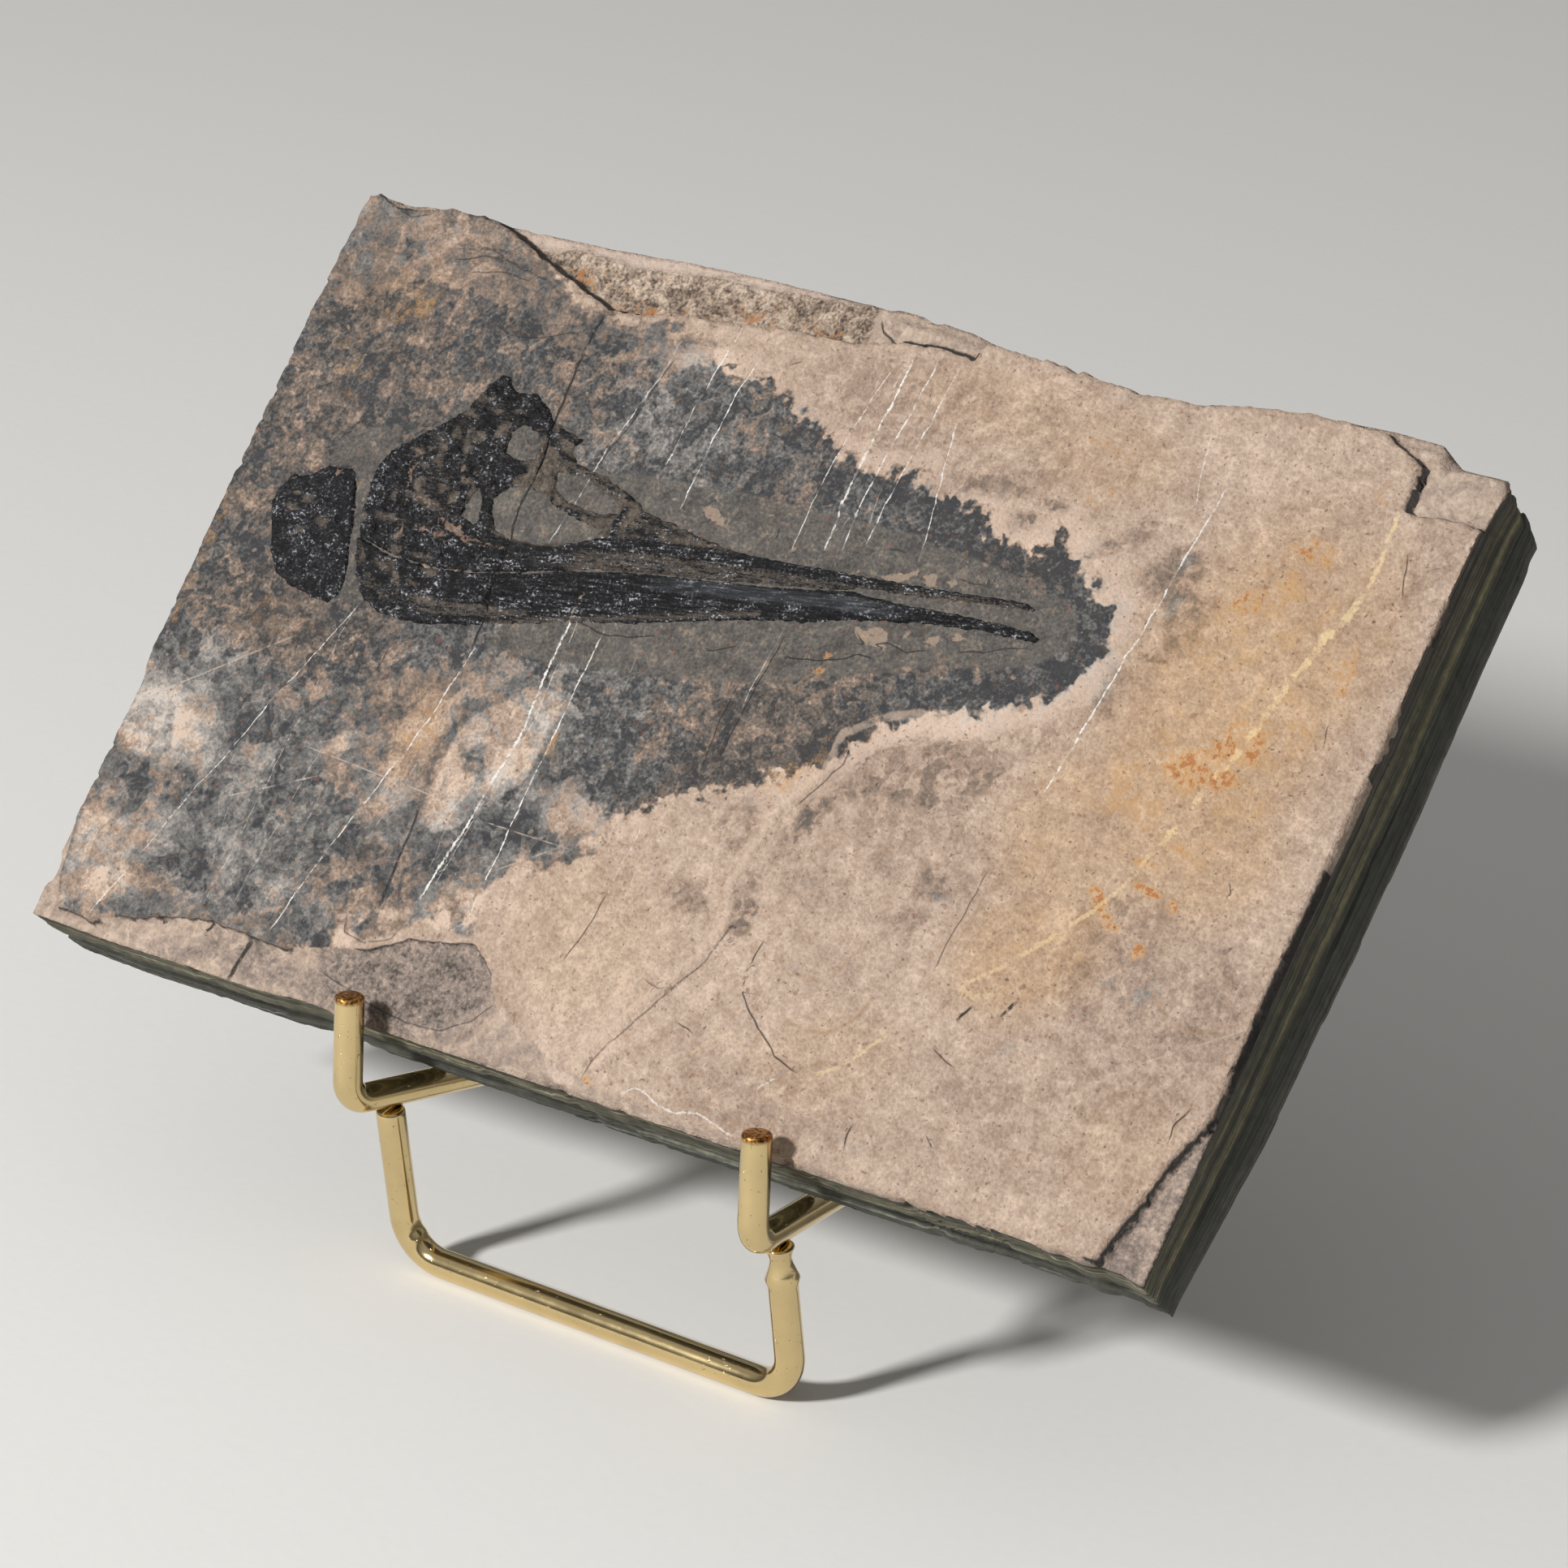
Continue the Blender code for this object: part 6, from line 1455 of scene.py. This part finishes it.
def bent(corners, radii, steps=14):
    """A line through the corners, each inner corner rounded to its radius."""
    line = [corners[0]]
    for before, here, after, radius in zip(corners, corners[1:], corners[2:], radii):
        back = (before - here).normalized()
        ahead = (after - here).normalized()
        half = back.angle(ahead) / 2
        middle = here + (back + ahead).normalized() * (radius / math.sin(half))
        start = here + back * (radius / math.tan(half)) - middle
        turn = start.rotation_difference(here + ahead * (radius / math.tan(half)) - middle)
        for step in range(steps + 1):
            share = turn.copy()
            share.angle = turn.angle * step / steps
            line.append(middle + share @ start)
    return line + [corners[-1]]


def mirrored(half):
    """The corners of the left half, then those of the right half in reverse."""
    middle = 2 * STAND_X
    return half + [Vector((middle - point.x, point.y, point.z)) for point in reversed(half)]


def evenly_spaced(line, gap):
    """Points every gap millimetres or so along a line."""
    spaced = [line[0]]
    for start, end in zip(line, line[1:]):
        parts = max(1, round((end - start).length / gap))
        spaced += [start.lerp(end, part / parts) for part in range(1, parts + 1)]
    return spaced


def swept_wire(name, line, radius, shape=None, sides=32):
    """A round wire along a line, with softly chamfered ends. shape may swell it or pinch it."""
    line = evenly_spaced(line, WIRE_STEP)
    head, tail = (line[1] - line[0]).normalized(), (line[-2] - line[-1]).normalized()
    path = [(line[0] + head * inset, scale) for inset, scale in WIRE_END]
    path += [(point, 1.0) for point in line[1:-1]]
    path += [(line[-1] + tail * inset, scale) for inset, scale in reversed(WIRE_END)]
    along = [head] * len(WIRE_END)
    along += [(after - before).normalized() for before, after in zip(line, line[2:])]
    along += [-tail] * len(WIRE_END)
    up = along[0].orthogonal().normalized()
    points = []
    for number, (centre, scale) in enumerate(path):
        if number:
            up = along[number - 1].rotation_difference(along[number]) @ up
        side = along[number].cross(up)
        for corner in range(sides):
            angle = corner * math.tau / sides
            spoke = up * math.cos(angle) + side * math.sin(angle)
            reach = radius * scale
            if shape and scale == 1.0:
                reach *= shape(centre, spoke)
            points.append(centre + spoke * reach)
    faces = []
    for ring in range(len(path) - 1):
        for corner in range(sides):
            after = (corner + 1) % sides
            here, there = ring * sides, (ring + 1) * sides
            faces.append((here + corner, there + corner, there + after, here + after))
    return new_mesh_object(name, [tuple(point) for point in points], faces)


def arm_z(y):
    """How high the cradle's arms run at this y."""
    return HOOK_Z - (y - HOOK_Y) * math.tan(math.radians(ARM_DROP))


def arm_x(y):
    """How far out from the stand's middle they run there."""
    return HOOK_X + (ARM_END_X - HOOK_X) * (y - HOOK_Y) / (ARM_END_Y - HOOK_Y)


def leg_shape(centre, spoke):
    """The welds of the front leg: a wrinkled bead in its left bend, a neck and a ring at its right top."""
    reach = 1.0
    if centre.x < STAND_X and centre.z < 9.0:
        bead = Vector((STAND_X - LEG_X + 1.6, LEG_Y - 0.4, 4.6))
        near = (centre - bead).length
        inward = max(0.0, spoke.dot(Vector((0.7, -0.2, 0.7))))
        wrinkle = 1.0 + 0.35 * math.sin(centre.z * 5.0 + centre.x * 4.0)
        reach += 0.42 * inward ** 2 * wrinkle * math.exp(-(near / 1.3) ** 2)
    if centre.x > STAND_X and centre.z > 12.0:
        for height, half, swell in (WELD_RING, WELD_NECK):
            reach += swell * math.exp(-((centre.z - height) / half) ** 2)
    return reach


# Settings that a user would change

# The stage, in millimetres and degrees. The camera looks down, from right of the front.
FLOOR_REACH = 4000.0
KEY_TARGET, KEY_WAY, KEY_DISTANCE, KEY_SIZE = (0.0, 0.0, 45.0), (-0.27, -0.80, 0.54), 1500.0, 220.0
CAMERA_AT, CAMERA_DOWN, CAMERA_ROUND, CAMERA_LENS = (326.7, -429.6, 283.3), 23.0, 36.845, 125.0

LENGTH = {"subtype": "DISTANCE", "unit": "LENGTH", "precision": 5}
COLOUR = {"subtype": "COLOR", "size": 3, "min": 0.0, "max": 1.0}


class FossilSlabSettings(PropertyGroup):
    cell: FloatProperty(name="Stone cell", description="Spacing of the points on the slab's face",
                        default=0.469 * MM, min=0.2 * MM, **LENGTH)
    bone_cell: FloatProperty(name="Bone cell", description="Spacing of the points on the bones",
                             default=0.15 * MM, min=0.08 * MM, **LENGTH)
    beige: FloatVectorProperty(name="Clean stone", description="Colour of the clean limestone",
                               default=linear("a38f7e")[:3], **COLOUR)
    dark: FloatVectorProperty(name="Dark stone", description="Darkest grey of the limestone near the fossil",
                              default=linear("2c2c2e")[:3], **COLOUR)
    bone: FloatVectorProperty(name="Bone", description="Colour of the fossil bone",
                              default=linear("0e0e10")[:3], **COLOUR)


class FossilStandSettings(PropertyGroup):
    radius: FloatProperty(name="Wire radius", description="Half the thickness of the stand's wire",
                          default=1.62 * MM, min=0.5 * MM, **LENGTH)
    plating: FloatVectorProperty(name="Plating", description="Colour of the brass plating",
                                 default=linear("e4cc98")[:3], **COLOUR)


class FossilStageSettings(PropertyGroup):
    floor: FloatVectorProperty(name="Floor", description="Colour of the floor",
                               default=linear("dcdad6")[:3], **COLOUR)
    key: FloatProperty(name="Key light", description="Power of the main light", default=29.0, min=0.0,
                       subtype="POWER", unit="POWER")
    fill: FloatProperty(name="Fill light", description="Brightness of the surroundings", default=0.36, min=0.0)


class FOSSIL_OT_slab(Operator):
    """Build the slab of limestone"""
    bl_idname = "fossil.build_slab"
    bl_label = "Build slab"

    def execute(self, context):
        cell = context.scene.fossil_slab.cell / MM
        points, faces, face_count = build_slab_mesh(cell)
        slab = new_mesh_object("stone_slab", points, faces, slab_fields(points, face_count))
        lean_back(slab)
        stand_for(slab, "slab", split_limestone(context.scene.fossil_slab))
        return {"FINISHED"}


class FOSSIL_OT_bones(Operator):
    """Build the three pieces of fossil bone"""
    bl_idname = "fossil.build_bones"
    bl_label = "Build bones"

    def execute(self, context):
        cell = context.scene.fossil_slab.bone_cell / MM
        finish = fossil_bone(context.scene.fossil_slab)
        bones = (
            ("skull_bones", "skull", SKULL_BOX, skull_inside, skull_height, skull_bone, CHEEK_STREAKS),
            ("lower_jaw_bone", "lower_jaw", JAW_BOX, jaw_inside, jaw_height, jaw_bone, ()),
            ("gill_plate", "gill_cover", GILL_BOX, gill_inside, gill_height, gill_bone, GILL_STREAKS))
        for name, node, box, inside_at, height_at, bone_at, streaks in bones:
            fields_at = partial(bone_fields, bone_at, streaks, node == "lower_jaw")
            piece = relief_piece(name, box, cell, inside_at, height_at, fields_at)
            lean_back(piece)
            stand_for(piece, node, finish)
        return {"FINISHED"}


class FOSSIL_OT_stand(Operator):
    """Build the three wires of the stand"""
    bl_idname = "fossil.build_stand"
    bl_label = "Build stand"

    def execute(self, context):
        settings = context.scene.fossil_stand
        radius = settings.radius / MM
        plating = brass_plating(settings.plating)
        hook_top_y = HOOK_Y + (HOOK_TOP_Z - HOOK_Z) * math.tan(math.radians(HOOK_LEAN))
        cradle = bent(mirrored([
            Vector((STAND_X - HOOK_X, hook_top_y, HOOK_TOP_Z)),
            Vector((STAND_X - HOOK_X, HOOK_Y, HOOK_Z)),
            Vector((STAND_X - ARM_END_X, ARM_END_Y, arm_z(ARM_END_Y))),
            Vector((STAND_X - ARM_END_X, REAR_FOOT_Y, radius))]), (HOOK_BEND, *[FOOT_BEND] * 4, HOOK_BEND))
        stand_for(swept_wire("cradle_wire", cradle, radius), "cradle", plating)
        under_arm = arm_z(LEG_TOP_Y) - radius / math.cos(math.radians(ARM_DROP))
        leg = bent(mirrored([
            Vector((STAND_X - LEG_X, LEG_TOP_Y, under_arm - LEG_GAP)),
            Vector((STAND_X - LEG_X, LEG_Y, radius))]), (FOOT_BEND, FOOT_BEND))
        stand_for(swept_wire("front_leg_wire", leg, radius, leg_shape), "front_leg", plating)
        lean = math.radians(SLAB_LEAN)
        up_slab = Vector((0.0, math.sin(lean), math.cos(lean)))
        out_of_back = Vector((0.0, math.cos(lean), -math.sin(lean)))
        touch = Vector(SLAB_EDGE) + up_slab * REST_HEIGHT + out_of_back * (SLAB_THICKNESS + radius + REST_GAP)
        foot_z = arm_z(REST_FOOT_Y) + radius / math.cos(math.radians(ARM_DROP)) + REST_FOOT_GAP
        rest = bent(mirrored([
            Vector((STAND_X - arm_x(REST_FOOT_Y), REST_FOOT_Y, foot_z)),
            Vector((STAND_X - REST_TOP_X, touch.y, touch.z))]), (REST_BEND, REST_BEND))
        stand_for(swept_wire("back_rest_wire", rest, radius), "back_rest", plating)
        return {"FINISHED"}


class FOSSIL_OT_stage(Operator):
    """Set up the floor, the lights and the camera"""
    bl_idname = "fossil.build_stage"
    bl_label = "Build stage"

    def execute(self, context):
        scene = context.scene
        settings = scene.fossil_stage
        corners = [(x * FLOOR_REACH, y * FLOOR_REACH, 0.0) for x, y in ((-1, -1), (1, -1), (1, 1), (-1, 1))]
        floor = new_mesh_object("floor", corners, [(0, 1, 2, 3)])
        floor.data.materials.append(paper_floor(settings.floor))
        toward_key = Vector(KEY_WAY).normalized()
        lamp = bpy.data.lights.new("key", "AREA")
        lamp.shape = "DISK"
        lamp.size = KEY_SIZE * MM
        lamp.energy = settings.key
        key = bpy.data.objects.new("key", lamp)
        key.location = (Vector(KEY_TARGET) + toward_key * KEY_DISTANCE) * MM
        key.rotation_euler = toward_key.to_track_quat("Z", "Y").to_euler()
        scene.collection.objects.link(key)
        world = bpy.data.worlds.new("studio")
        world.use_nodes = True
        node = partial(add_node, world.node_tree)
        height = node("SeparateXYZ", node("TexCoord"), output=2)
        sky = node("ValToRGB", height, stops=((0.0, "a3a19e"), (0.12, "8f8d8b"), (0.45, "e2e3e4"), (0.8, "ffffff")))
        background = world.node_tree.nodes["Background"]
        world.node_tree.links.new(sky, background.inputs["Color"])
        background.inputs["Strength"].default_value = settings.fill
        scene.world = world
        scene.view_settings.view_transform = "Standard"
        lens = bpy.data.cameras.new("camera")
        lens.lens = CAMERA_LENS
        lens.sensor_width = 36.0
        lens.clip_end = 20.0
        camera = bpy.data.objects.new("camera", lens)
        turn = Euler((math.radians(90.0 - CAMERA_DOWN), 0.0, math.radians(CAMERA_ROUND)))
        camera.matrix_world = Matrix.Translation(Vector(CAMERA_AT) * MM) @ turn.to_matrix().to_4x4()
        scene.collection.objects.link(camera)
        scene.camera = camera
        return {"FINISHED"}


class FOSSIL_PT_panel(Panel):
    bl_label = "Fossil fish slab"
    bl_idname = "FOSSIL_PT_panel"
    bl_space_type = "VIEW_3D"
    bl_region_type = "UI"
    bl_category = "Fossil"

    def draw(self, context):
        scene = context.scene
        groups = (
            (scene.fossil_slab, ("cell", "bone_cell", "beige", "dark", "bone"), (FOSSIL_OT_slab, FOSSIL_OT_bones)),
            (scene.fossil_stand, ("radius", "plating"), (FOSSIL_OT_stand,)),
            (scene.fossil_stage, ("floor", "key", "fill"), (FOSSIL_OT_stage,)))
        for settings, names, operators in groups:
            box = self.layout.box()
            for name in names:
                box.prop(settings, name)
            for operator in operators:
                box.operator(operator.bl_idname)


GROUPS = (("fossil_slab", FossilSlabSettings), ("fossil_stand", FossilStandSettings),
          ("fossil_stage", FossilStageSettings))
CLASSES = (FOSSIL_OT_slab, FOSSIL_OT_bones, FOSSIL_OT_stand, FOSSIL_OT_stage, FOSSIL_PT_panel)


def register():
    for name, group in GROUPS:
        bpy.utils.register_class(group)
        setattr(bpy.types.Scene, name, PointerProperty(type=group))
    for made in CLASSES:
        bpy.utils.register_class(made)


def unregister():
    for made in reversed(CLASSES):
        bpy.utils.unregister_class(made)
    for name, group in reversed(GROUPS):
        delattr(bpy.types.Scene, name)
        bpy.utils.unregister_class(group)


def main():
    register()
    bpy.ops.fossil.build_slab()
    bpy.ops.fossil.build_bones()
    bpy.ops.fossil.build_stand()
    bpy.ops.fossil.build_stage()


if __name__ == "__main__":
    main()
